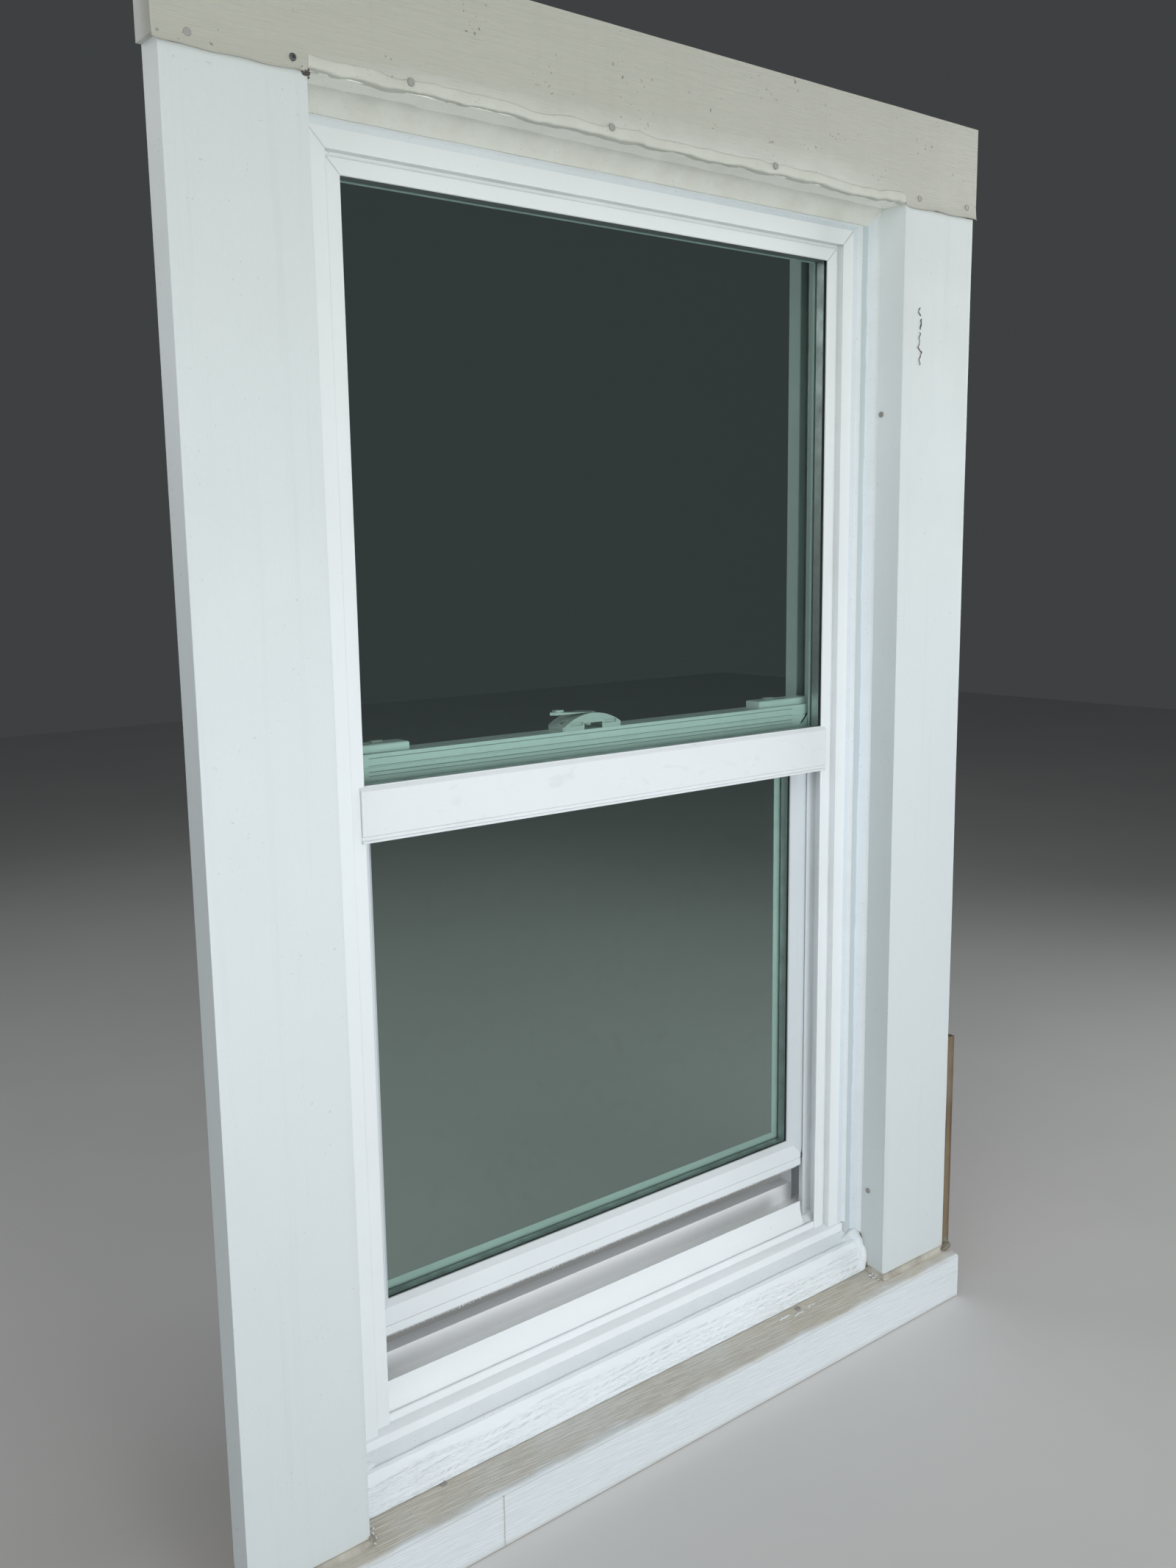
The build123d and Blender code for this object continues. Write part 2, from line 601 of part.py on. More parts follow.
# Tilt latches on the top rail: a low housing and a bolt that slides out into the balance channel
latch_length = 87.0
latch_height = 8.0
latch_wall = 1.5
latch_throw = 9.0
latch_y0 = sash_y + top_rail_back + 7
latch_y1 = sash_back - 0.5
bolt_y = pivot_y - 1.5
bolt_half = 4.5
bolt_height = 4.0
button_x = 58.0            # middle of the finger button at rest, in from the sash's edge
button_half = 6.0
for side, hand in SIDES:
    with BuildPart() as latch:
        with BuildSketch(Plane.XY.offset(sash_top)):
            block((side * sash_x, latch_y0), (side * (sash_x - latch_length), latch_y1))
        extrude(amount=latch_height)
        chamfer(latch.faces().sort_by(Axis.Z)[-1].edges(), 1.2)
        with BuildSketch(Plane.XY.offset(sash_top)):
            block((side * (sash_x + 1), bolt_y - bolt_half - play),
                  (side * (sash_x - button_x - button_half - latch_wall), bolt_y + bolt_half + play))
        extrude(amount=bolt_height + 2 * play, mode=Mode.SUBTRACT)
        with BuildSketch(Plane.XY.offset(sash_top)):
            block((side * (sash_x - button_x - button_half - play), bolt_y - 3 - play),
                  (side * (sash_x - button_x + button_half + latch_throw + play), bolt_y + 3 + play))
        extrude(amount=latch_height, mode=Mode.SUBTRACT)
    finish(latch, f"tilt_latch_{hand}")
    with BuildPart() as bolt:
        with BuildSketch(Plane.XY.offset(sash_top + play)):
            block((side * (sash_x - 0.5), bolt_y - bolt_half),
                  (side * (sash_x - button_x - button_half), bolt_y + bolt_half))
        extrude(amount=bolt_height)
        with BuildSketch(Plane.XY.offset(sash_top + play + bolt_height)):
            block((side * (sash_x - button_x - button_half), bolt_y - 3),
                  (side * (sash_x - button_x + button_half), bolt_y + 3))
        extrude(amount=latch_height - bolt_height + 1.5)
    finish(bolt, f"latch_bolt_{hand}")

# Cam lock on the top rail
lock_height = 17.0
lock_end_height = 4.0
lock_y0 = sash_y + top_rail_back + 0.4
spindle_radius = 4.0
recess_x = lock_length / 2 - 17.0  # middle of each front recess from the hub
recess_length = 18.0
recess_height = 4.0
recess_rise = 7.0
recess_depth = 1.5
with BuildPart() as lock_housing:
    with BuildSketch(Plane.XZ.offset(-lock_y0)):
        with BuildLine():
            low_left = (lock_x - lock_length / 2, sash_top)
            low_right = (lock_x + lock_length / 2, sash_top)
            high_left = (lock_x - lock_length / 2, sash_top + lock_end_height)
            high_right = (lock_x + lock_length / 2, sash_top + lock_end_height)
            Polyline(high_left, low_left, low_right, high_right)
            ThreePointArc(high_right, (lock_x, sash_top + lock_height), high_left)
        make_face()
    extrude(amount=-(sash_back - lock_y0))
    chamfer(lock_housing.edges().filter_by(Axis.Z), 2.0)
    with BuildSketch(Plane.XY.offset(sash_top)):
        with Locations((lock_x, hub_y)):
            Circle(hook_outer + play)
    extrude(amount=hook_z + hook_thickness + play, mode=Mode.SUBTRACT)
    with BuildSketch(Plane.XY.offset(sash_top)):
        with Locations((lock_x, hub_y)):
            Circle(spindle_radius + running)
    extrude(amount=lock_height + 1, mode=Mode.SUBTRACT)
    with BuildSketch(Plane.XZ.offset(-lock_y0)):
        with Locations((lock_x - recess_x, sash_top + recess_rise), (lock_x + recess_x, sash_top + recess_rise)):
            RectangleRounded(recess_length, recess_height, recess_height / 2 - 0.1)
    extrude(amount=-recess_depth, mode=Mode.SUBTRACT)
    with BuildSketch(Plane.XY.offset(sash_top + lock_end_height)):
        with Locations((lock_x - lock_screw_x, hub_y), (lock_x + lock_screw_x, hub_y)):
            Circle(lock_screw_seat)
    extrude(amount=lock_height, mode=Mode.SUBTRACT)
finish(lock_housing, "lock_housing")

lever_length = 50.0
lever_gap = 0.3
lever_thickness = 3.0
with BuildPart() as lock_lever:
    with BuildSketch(Plane.XY.offset(sash_top + hook_z)):
        with Locations((lock_x, hub_y)):
            Circle(spindle_radius)
    extrude(amount=lock_height + lever_gap - hook_z)
    with BuildSketch(Plane(origin=(lock_x, hub_y, sash_top + hook_z))):
        with BuildLine():
            outer = CenterArc((0, 0), hook_outer, 20, 120)
            inner = CenterArc((0, 0), hook_inner, 20, 95)
            Line(outer @ 0, inner @ 0)
            Polyline(inner @ 1, (0, 0), outer @ 1)
        make_face()
    extrude(amount=hook_thickness)
    with BuildSketch(Plane(origin=(lock_x, hub_y, sash_top + lock_height + lever_gap))):
        Circle(9.0)
        fill([(0, -6.0), (-lever_length + 5, -5.0), (-lever_length, 0), (-lever_length + 5, 5.0), (0, 6.0)])
    extrude(amount=lever_thickness)
    with BuildSketch(Plane(origin=(lock_x - lever_length + 11, hub_y, sash_top + lock_height + lever_gap))):
        RectangleRounded(12, 9, 3)
    extrude(amount=lever_thickness + 2)
finish(lock_lever, "lock_lever")

# Keeper on the back of the fixed rail
with BuildPart() as keeper:
    with BuildSketch(Plane.XZ.offset(-fin_y)):
        with Locations((lock_x, keeper_middle)):
            RectangleRounded(keeper_length, keeper_height, 3)
    extrude(amount=-keeper_base)
    with BuildSketch(Plane.YZ.offset(lock_x - keeper_half)):
        block((fin_y, keeper_low - keeper_wall), (lip_front + 1.4, keeper_high + keeper_wall))
        block((fin_y, keeper_low), (lip_front, keeper_high), Mode.SUBTRACT)
    extrude(amount=2 * keeper_half)
finish(keeper, "keeper")


def below_sill(lift):
    """Outline of all that lies under the sill's sloping top, raised by a lift."""
    front, rear, low = sill_nose_y - board, board_back + board, -board
    return [(front, sill_top(front) + lift), (rear, sill_top(rear) + lift), (rear, low), (front, low)]


# Old wood behind the metal: jamb boards, head board, casings and blind stops
stop_back = flange_y
stop_foot = seat_height + 0.5
head_stop_z = head_z + stop_edge + sheet
foot_lift = sheet_rise + foot_gap
for side, hand in SIDES:
    with BuildPart() as jamb_board:
        with BuildSketch(Plane.XY):
            block((side * board_in, casing_back), (side * board_out, board_back))
        extrude(amount=head_board_z)
        with BuildSketch(Plane.YZ.offset(side * (board_in - 1))):
            fill(below_sill(0))
        extrude(amount=side * (board + 2), mode=Mode.SUBTRACT)
        for z in wall_hole_heights:
            with BuildSketch(Plane.YZ.offset(side * board_in)):
                with Locations((screw_y, z)):
                    Circle(wall_hole_radius)
            extrude(amount=side * board, mode=Mode.SUBTRACT)
    finish(jamb_board, f"jamb_board_{hand}")
    with BuildPart() as casing:
        with BuildSketch(Plane.XY):
            block((side * board_in, sheet), (side * (casing_out - sheet), casing_back))
        extrude(amount=head_board_z)
        with BuildSketch(Plane.YZ.offset(side * (board_in - 1))):
            fill(below_sill(foot_lift))
        extrude(amount=side * casing_width, mode=Mode.SUBTRACT)
    finish(casing, f"casing_board_{hand}")
    with BuildPart() as stop:
        with BuildSketch(Plane.XY.offset(stop_foot)):
            block((side * (stop_x + sheet), stop_front + sheet), (side * board_in, stop_back))
        extrude(amount=head_z + stop_edge - stop_foot)
    finish(stop, f"blind_stop_{hand}")
with BuildPart() as head_board:
    with BuildSketch(Plane.YZ.offset(-board_out)):
        block((casing_back, head_board_z), (board_back, head_board_z + board))
    extrude(amount=2 * board_out)
finish(head_board, "head_board")
with BuildPart() as head_casing:
    with BuildSketch(Plane.YZ.offset(-(head_end - sheet))):
        block((0, head_board_z), (casing_back, head_casing_top))
    extrude(amount=2 * (head_end - sheet))
finish(head_casing, "casing_board_head")
with BuildPart() as head_stop:
    with BuildSketch(Plane.YZ.offset(-board_in)):
        block((stop_front + sheet, head_stop_z), (stop_back, head_board_z))
    extrude(amount=2 * board_in)
finish(head_stop, "blind_stop_head")

# Metal cladding on the casings and blind stops
stop_hem = 12.0
edge_return = casing_back
side_run = [
    (stop_x, stop_front + stop_hem), (stop_x, stop_front), (casing_in, stop_front), (casing_in, 0),
    (casing_out, 0), (casing_out, edge_return),
]
for side, hand in SIDES:
    with BuildPart() as cladding:
        with BuildSketch(Plane.XY):
            fill([(side * x, y) for x, y in folded(side_run, sheet)])
        extrude(amount=casing_low_head)
        with BuildSketch(Plane.XZ.offset(-(stop_front - 1))):
            block((side * (stop_x - 1), head_z + stop_edge), (side * casing_in, casing_low_head + 1))
        extrude(amount=-stop_hem - 2, mode=Mode.SUBTRACT)
        with BuildSketch(Plane.YZ.offset(side * (stop_x - 1))):
            fill(below_sill(foot_lift))
            fill([(riser_foot_y - 1, 0), (riser_foot_y - 1, sill_top(riser_foot_y) + foot_lift),
                  (riser_top_y - 1, stop_foot), (board_back, stop_foot), (board_back, 0)])
        extrude(amount=side * (casing_out - stop_x + 2), mode=Mode.SUBTRACT)
    finish(cladding, f"cladding_{hand}")
head_run = [
    (-sheet, head_casing_top), (-sheet, casing_low_head), (stop_front, casing_low_head),
    (stop_front, head_z + stop_edge), (stop_front + stop_hem, head_z + stop_edge),
]
with BuildPart() as head_cladding:
    with BuildSketch(Plane.YZ.offset(-casing_in)):
        fill(folded(head_run, sheet))
    extrude(amount=2 * casing_in)
    for side, hand in SIDES:
        with BuildSketch(Plane.YZ.offset(side * casing_in)):
            block((-sheet, casing_low_head - head_flap), (0, head_casing_top))
        extrude(amount=side * (head_end - casing_in))
        with BuildSketch(Plane.YZ.offset(side * (head_end - sheet))):
            block((0, casing_low_head), (casing_back, head_casing_top))
        extrude(amount=side * sheet)
        with BuildSketch(Plane.YZ.offset(side * casing_out)):
            block((-sheet, casing_low_head), (casing_back, head_board_z))
        extrude(amount=side * head_overhang)
finish(head_cladding, "cladding_head")

# Sloping wooden sill, its cladding and the block under the vinyl sill
sill_run = [
    (riser_top_y, riser_top_z), (riser_foot_y, sill_top(riser_foot_y) + sheet_rise),
    (sill_nose_y - sheet, sill_top(sill_nose_y - sheet) + sheet_rise), (sill_nose_y - sheet, nose_hem),
]
riser_sheet = folded(sill_run, sheet)
riser_back_top = riser_sheet[-1]
riser_back_foot = riser_sheet[-2]
with BuildPart() as sill_board:
    with BuildSketch(Plane.YZ.offset(-board_out)):
        fill([(sill_nose_y, 0), (sill_nose_y, sill_top(sill_nose_y)), (board_back, sill_top(board_back)),
              (board_back, 0)])
    extrude(amount=2 * board_out)
    with BuildSketch(Plane.YZ.offset(-(sill_end - sheet))):
        fill([(sill_nose_y, 0), (sill_nose_y, sill_top(sill_nose_y)), (casing_back, sill_top(casing_back)),
              (casing_back, 0)])
    extrude(amount=2 * (sill_end - sheet))
    edges = sill_board.edges().filter_by(Axis.X)
    fillet(edges.sort_by_distance((0, sill_nose_y, sill_top(sill_nose_y)))[0], nose_round)
finish(sill_board, "sill_board")
with BuildPart() as sill_cladding:
    with BuildSketch(Plane.YZ.offset(-casing_in)):
        fill(riser_sheet)
    extrude(amount=2 * casing_in)
    with BuildSketch(Plane.YZ.offset(-sill_end)):
        fill(folded(sill_run[1:], sheet))
    extrude(amount=2 * sill_end)
    edges = sill_cladding.edges().filter_by(Axis.X)
    fillet(edges.sort_by_distance((0, sill_nose_y, sill_top(sill_nose_y)))[0], nose_round)
    edges = sill_cladding.edges().filter_by(Axis.X)
    fillet(edges.sort_by_distance((0, sill_run[2][0], sill_run[2][1]))[0], nose_round + sheet)
    for side, hand in SIDES:
        with BuildSketch(Plane.YZ.offset(side * (sill_end - sheet))):
            fill([(sill_nose_y + nose_round, nose_hem),
                  (sill_nose_y + nose_round, sill_top(sill_nose_y + nose_round)),
                  (riser_foot_y, sill_top(riser_foot_y)), (riser_foot_y, nose_hem)])
        extrude(amount=side * sheet)
finish(sill_cladding, "cladding_sill")
with BuildPart() as filler:
    with BuildSketch(Plane.YZ.offset(-board_in)):
        fill([riser_back_foot, riser_back_top, (flange_y - 4, seat_height), (board_back, seat_height),
              (board_back, sill_top(board_back)), (riser_back_foot[0], sill_top(riser_back_foot[0]))])
    extrude(amount=2 * board_in)
finish(filler, "sill_filler_block")

# Shims between the vinyl jambs and the wood, with the wall screws' holes through them
with BuildPart() as shims:
    for side, hand in SIDES:
        for z in wall_hole_heights:
            with BuildSketch(Plane.YZ.offset(side * frame_x)):
                with Locations((screw_y + shim_shift, z)):
                    Rectangle(shim_depth, shim_height)
                with Locations((screw_y, z)):
                    Circle(wall_hole_radius, mode=Mode.SUBTRACT)
            extrude(amount=side * (board_in - frame_x))
finish(shims, "shims")

# Sealant: coves between the vinyl frame and the stops, under the nose, and at the casings' feet
cove = 7.0
for side, hand in SIDES:
    with BuildPart() as sealant:
        with BuildSketch(Plane.XY.offset(band_z)):
            fill([(side * (stop_x - cove), face_y), (side * (stop_x - 2.8), face_y - 2.8),
                  (side * stop_x, face_y - cove), (side * stop_x, face_y)])
        extrude(amount=head_z + stop_edge - band_z)
        split(bisect_by=Plane(origin=(side * sight_x, 0, head_z), z_dir=(side, 0, -1)), keep=Keep.TOP)
    finish(sealant, f"sealant_{hand}")
    with BuildPart() as foot_sealant:
        with BuildSketch(Plane.YZ.offset(side * casing_in)):
            fill([(-0.8, sill_top(-0.8) + sheet_rise), (8, sill_top(8) + sheet_rise),
                  (8, sill_top(8) + foot_lift), (-0.8, sill_top(-0.8) + foot_lift)])
        extrude(amount=side * casing_width)
    finish(foot_sealant, f"foot_sealant_{hand}")
with BuildPart() as head_sealant:
    with BuildSketch(Plane.YZ.offset(-stop_x)):
        fill([(face_y, head_z + stop_edge - cove), (face_y - 2.8, head_z + stop_edge - 2.8),
              (face_y - cove, head_z + stop_edge), (face_y, head_z + stop_edge)])
    extrude(amount=2 * stop_x)
    for side, hand in SIDES:
        split(bisect_by=Plane(origin=(side * sight_x, 0, head_z), z_dir=(-side, 0, 1)), keep=Keep.TOP)
finish(head_sealant, "sealant_head")
with BuildPart() as sill_sealant:
    with BuildSketch(Plane.YZ.offset(-(stop_x - play))):
        fill([sill_run[0], (nose_y, nose_bottom), (flange_y - 4, nose_bottom), (flange_y - 4, seat_height),
              riser_back_top])
    extrude(amount=2 * (stop_x - play))
finish(sill_sealant, "sealant_sill")

# Bare wooden strip beside the right casing
strip_width = 16.0
strip_front = 1.0
strip_top = 353.0
with BuildPart() as strip:
    with BuildSketch(Plane.XY):
        block((casing_out, strip_front), (casing_out + strip_width, casing_back))
    extrude(amount=strip_top)
    with BuildSketch(Plane.YZ.offset(casing_out - 1)):
        fill(below_sill(sheet_rise))
    extrude(amount=strip_width + 2, mode=Mode.SUBTRACT)
finish(strip, "bare_strip")
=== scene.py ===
"""Looks of the single-hung window: eased vinyl bars, bent sheet cladding, sealed glass, caulk,
nails and grime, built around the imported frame. Metres, in the frame of the solids.
"""

import json
import math

import bmesh
import bpy
from mathutils import Matrix, Vector


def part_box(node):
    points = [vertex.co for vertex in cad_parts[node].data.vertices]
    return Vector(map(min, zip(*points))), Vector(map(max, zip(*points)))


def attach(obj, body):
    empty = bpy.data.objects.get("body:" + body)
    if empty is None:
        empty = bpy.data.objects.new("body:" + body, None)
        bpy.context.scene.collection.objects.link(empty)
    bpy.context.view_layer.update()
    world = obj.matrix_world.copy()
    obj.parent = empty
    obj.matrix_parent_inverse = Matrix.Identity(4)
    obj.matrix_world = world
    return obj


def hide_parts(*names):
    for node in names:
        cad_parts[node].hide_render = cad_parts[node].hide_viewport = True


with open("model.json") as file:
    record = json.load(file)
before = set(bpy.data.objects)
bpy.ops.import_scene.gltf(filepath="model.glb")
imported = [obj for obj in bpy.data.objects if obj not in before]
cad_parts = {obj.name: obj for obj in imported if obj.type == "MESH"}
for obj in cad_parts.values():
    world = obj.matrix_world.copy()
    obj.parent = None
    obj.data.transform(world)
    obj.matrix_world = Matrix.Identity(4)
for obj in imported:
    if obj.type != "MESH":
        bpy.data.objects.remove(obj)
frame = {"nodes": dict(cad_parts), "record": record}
nodes = frame["nodes"]
bodies = frame["record"]["behaviour"]["bodies"]
body_of = {node: body for body, names in bodies.items() for node in names}
slot_of = {row["node"]: row["material_slot"] for row in frame["record"]["subparts"]}


def corners(pair):
    """A box as plain lists of numbers."""
    return [[float(v) for v in corner] for corner in pair]


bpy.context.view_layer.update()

# Places that several pieces and finishes share

X, Y, Z = 0, 1, 2
hands = ((-1, "left"), (1, "right"))
casing_inside, casing_outside = 0.375, 0.499
casing_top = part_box("cladding_right")[1].z
stop_edge, stop_face = 0.356, 0.046
head_edge = 1.365
sill_rise = math.radians(10.0)
sill_top = 0.0612

# Camera and studio light

def added(name, data):
    """A new object in the scene."""
    thing = bpy.data.objects.new(name, data)
    bpy.context.scene.collection.objects.link(thing)
    return thing


eye = (-0.962, -1.064, 0.985)
yaw, pitch, roll = math.radians(-39.1), math.radians(-9.46), math.radians(0.78)
focal_pixels, photo_height, sensor = 1915.0, 2133.0, 36.0
camera = added("photo_view", bpy.data.cameras.new("photo_view"))
turn = Matrix.Rotation(yaw, 3, "Z") @ Matrix.Rotation(pitch, 3, "X") @ Matrix.Rotation(roll, 3, "Y")
right, ahead, up = turn.col
view = Matrix((right, up, -ahead)).transposed().to_4x4()
view.translation = eye
camera.matrix_world = view
camera.data.sensor_fit = "AUTO"
camera.data.sensor_width = sensor
camera.data.lens = sensor * focal_pixels / photo_height
camera.data.clip_start = 0.01
bpy.context.scene.camera = camera
bpy.context.scene.view_settings.view_transform = "Standard"


def softbox(name, place, aim, size, power, beam, colour=(1.0, 1.0, 1.0)):
    """An oblong studio light turned to a point, with its beam held to an angle."""
    lamp = bpy.data.lights.new(name, "AREA")
    lamp.shape = "RECTANGLE"
    lamp.size, lamp.size_y = size
    lamp.energy = power
    lamp.spread = beam
    lamp.color = colour
    holder = added(name, lamp)
    holder.location = place
    holder.rotation_euler = (Vector(aim) - Vector(place)).to_track_quat("-Z", "Y").to_euler()


softbox("sky_softbox", (-1.5, -2.3, 3.3), (0, 0.1, 0.75), (3.2, 2.4), 16, 2.0, (1.0, 0.99, 0.94))
softbox("left_softbox", (-3.0, -1.2, 1.1), (0.1, 0, 0.6), (2.0, 2.0), 8.5, 1.6, (0.96, 0.98, 1.0))
softbox("front_softbox", (0.1, -3.4, 0.8), (0.2, 0, 0.55), (2.4, 1.6), 13, 1.3, (0.97, 0.99, 1.0))
softbox("right_softbox", (3.2, -1.0, 1.5), (0.2, 0, 0.7), (1.7, 1.8), 15, 1.7, (0.97, 0.985, 1.0))
softbox("low_softbox", (-0.6, -1.7, 0.08), (0, 0.03, 1.36), (1.6, 0.8), 6.5, 1.6, (0.98, 0.99, 1.0))
softbox("room_softbox", (-2.2, 3.0, 2.3), (0, 0.1, 0.75), (2.4, 2.0), 9, 2.0)

world = bpy.data.worlds.new("studio")
bpy.context.scene.world = world
world.use_nodes = True
haze = world.node_tree.nodes["Background"].inputs
haze["Color"].default_value = (0.8, 0.86, 0.9, 1.0)
haze["Strength"].default_value = 0.06


# Finishes

def start(name, roughness, metallic=0.0):
    """A new finish with its tree and shader."""
    material = bpy.data.materials.new(name)
    material.use_nodes = True
    tree = material.node_tree
    shader = tree.nodes["Principled BSDF"]
    shader.inputs["Roughness"].default_value = roughness
    shader.inputs["Metallic"].default_value = metallic
    return material, tree, shader


def darker(colour, share):
    """A colour with each part cut to a share."""
    return tuple(part * share for part in colour)


def drawn_along(axis, run):
    """A stretch for a pattern that runs along an axis."""
    return tuple(run if letter == axis else 1.0 for letter in "XYZ")


def stretched(tree, scale=(1.0, 1.0, 1.0)):
    """Object coordinates stretched along each axis."""
    coordinate = tree.nodes.new("ShaderNodeTexCoord")
    mapping = tree.nodes.new("ShaderNodeMapping")
    mapping.inputs["Scale"].default_value = scale
    tree.links.new(coordinate.outputs["Object"], mapping.inputs["Vector"])
    return mapping.outputs["Vector"]


def mottle(tree, scale, stretch=(1.0, 1.0, 1.0), detail=4.0, roughness=0.6, distortion=0.0):
    """Soft noise from 0 to 1 around the middle."""
    noise = tree.nodes.new("ShaderNodeTexNoise")
    tree.links.new(stretched(tree, stretch), noise.inputs["Vector"])
    noise.inputs["Scale"].default_value = scale
    noise.inputs["Detail"].default_value = detail
    noise.inputs["Roughness"].default_value = roughness
    noise.inputs["Distortion"].default_value = distortion
    return noise.outputs["Fac"]


def spread(tree, value, low, high, to_low=0.0, to_high=1.0):
    """Stretch a range of a value onto another, with its ends held."""
    node = tree.nodes.new("ShaderNodeMapRange")
    tree.links.new(value, node.inputs["Value"])
    node.inputs["From Min"].default_value = low
    node.inputs["From Max"].default_value = high
    node.inputs["To Min"].default_value = to_low
    node.inputs["To Max"].default_value = to_high
    return node.outputs["Result"]


def sums(tree, how, first, second):
    """One step of arithmetic, each side a value or a number, held from 0 to 1."""
    node = tree.nodes.new("ShaderNodeMath")
    node.operation = how
    node.use_clamp = True
    for socket, given in zip(node.inputs, (first, second)):
        if isinstance(given, (int, float)):
            socket.default_value = given
        else:
            tree.links.new(given, socket)
    return node.outputs["Value"]


def sums_open(tree, how, first, second):
    """One step of arithmetic that may leave the range from 0 to 1."""
    result = sums(tree, how, first, second)
    result.node.use_clamp = False
    return result


def product(tree, first, second):
    """Two values multiplied, held from 0 to 1."""
    return sums(tree, "MULTIPLY", first, second)


def tint(tree, share, first, second, how="MIX"):
    """Blend two colours, each a colour or another blend."""
    node = tree.nodes.new("ShaderNodeMix")
    node.data_type = "RGBA"
    node.blend_type = how
    if isinstance(share, (int, float)):
        node.inputs["Factor"].default_value = share
    else:
        tree.links.new(share, node.inputs["Factor"])
    first_colour, second_colour, blended = 6, 7, 2
    for socket, given in ((node.inputs[first_colour], first), (node.inputs[second_colour], second)):
        if isinstance(given, tuple):
            socket.default_value = (*given, 1.0)
        else:
            tree.links.new(given, socket)
    return node.outputs[blended]


def relief(tree, shader, height, distance, strength):
    """Raise a pattern off the surface by a distance in metres."""
    bump = tree.nodes.new("ShaderNodeBump")
    bump.inputs["Strength"].default_value = strength
    bump.inputs["Distance"].default_value = distance
    tree.links.new(height, bump.inputs["Height"])
    tree.links.new(bump.outputs["Normal"], shader.inputs["Normal"])


def painted(tree, shader, body, dullness=None):
    """Give a shader its colour and, where it varies, its roughness."""
    tree.links.new(body, shader.inputs["Base Color"])
    if dullness is not None:
        tree.links.new(dullness, shader.inputs["Roughness"])


def crevices(tree, distance, sharp=0.5):
    """1 deep in the corners, falling to 0 on open faces."""
    node = tree.nodes.new("ShaderNodeAmbientOcclusion")
    node.samples = 6
    node.inputs["Distance"].default_value = distance
    return spread(tree, node.outputs["AO"], sharp, 0.95, 1.0, 0.0)


def dots(tree, scale, low, high):
    """Small specks, 1 inside them and 0 outside."""
    return spread(tree, mottle(tree, scale, detail=1.0), low, high)


def corner_dust_and_shade(tree, clouds, reach):
    """Dust and painted shade in patches in the corners, found by ambient occlusion up to a reach in metres.
    """
    return product(tree, crevices(tree, reach, 0.35), spread(tree, clouds, 0.35, 0.7, 0.2, 1.0))


def measured(tree, axis):
    """One coordinate of the surface point, in metres."""
    split = tree.nodes.new("ShaderNodeSeparateXYZ")
    tree.links.new(stretched(tree), split.inputs["Vector"])
    return split.outputs[axis]


def facing(tree, axis):
    """How much the surface faces along an axis."""
    geometry = tree.nodes.new("ShaderNodeNewGeometry")
    split = tree.nodes.new("ShaderNodeSeparateXYZ")
    tree.links.new(geometry.outputs["Normal"], split.inputs["Vector"])
    return split.outputs[axis]


def painted_eaves_shade(tree, body):
    """A colour with painted shade: darker and warmer towards the top of the window, where the eaves shade
    it.
    """
    share = spread(tree, measured(tree, Z), 0.75, 1.36)
    return tint(tree, share, body, (0.905, 0.905, 0.865), "MULTIPLY")


def caulk_film(tree, body):
    """A colour with the film of caulk wiped up from the head sheet's low edge, thick on its stop."""
    across, back, rise = (measured(tree, axis) for axis in (X, Y, Z))
    width = spread(tree, across, -0.36, 0.2, 0.014, 0.034)
    share = sums_open(tree, "DIVIDE", sums_open(tree, "SUBTRACT", rise, head_edge + 0.001), width)
    ragged = spread(tree, mottle(tree, 22.0, (1.0, 1.0, 2.0), 5.0), 0.3, 0.7, -0.25, 0.25)
    film = spread(tree, sums_open(tree, "ADD", share, ragged), 0.05, 1.0, 0.45, 0.0)
    between = spread(tree, sums_open(tree, "ABSOLUTE", across, 0.0), 0.25, 0.37, 1.0, 0.0)
    thick = spread(tree, back, 0.004, 0.02, 0.0, 0.8)
    film = sums(tree, "MAXIMUM", product(tree, film, between), thick)
    return tint(tree, film, body, (0.6, 0.63, 0.6))


def painted_recess_shade(tree, body):
    """A colour with painted shade on the stops, which lie back from the casings, more at the right."""
    back = spread(tree, measured(tree, Y), 0.026, 0.04)
    front = spread(tree, facing(tree, Y), -0.85, -0.45, 1.0, 0.0)
    hand = spread(tree, measured(tree, X), -0.2, 0.3, 0.45, 1.0)
    share = product(tree, product(tree, back, front), hand)
    return tint(tree, share, body, (0.79, 0.83, 0.865), "MULTIPLY")


def painted_return_light(tree, body):
    """A colour with painted light: whiter up the faces that look left, such as the right return."""
    side = spread(tree, facing(tree, X), -0.9, -0.6, 1.0, 0.0)
    share = product(tree, side, spread(tree, measured(tree, Z), 0.75, 1.15))
    return tint(tree, share, body, (1.34, 1.32, 1.34), "MULTIPLY")


def painted_trough_light(tree, body):
    """A colour with painted light: whiter behind the sill's lip, in the trough that the sash shades."""
    inside = spread(tree, measured(tree, Y), 0.0744, 0.075)
    share = product(tree, inside, spread(tree, measured(tree, Z), 0.138, 0.14))
    return tint(tree, share, body, (0.93, 0.95, 0.965))


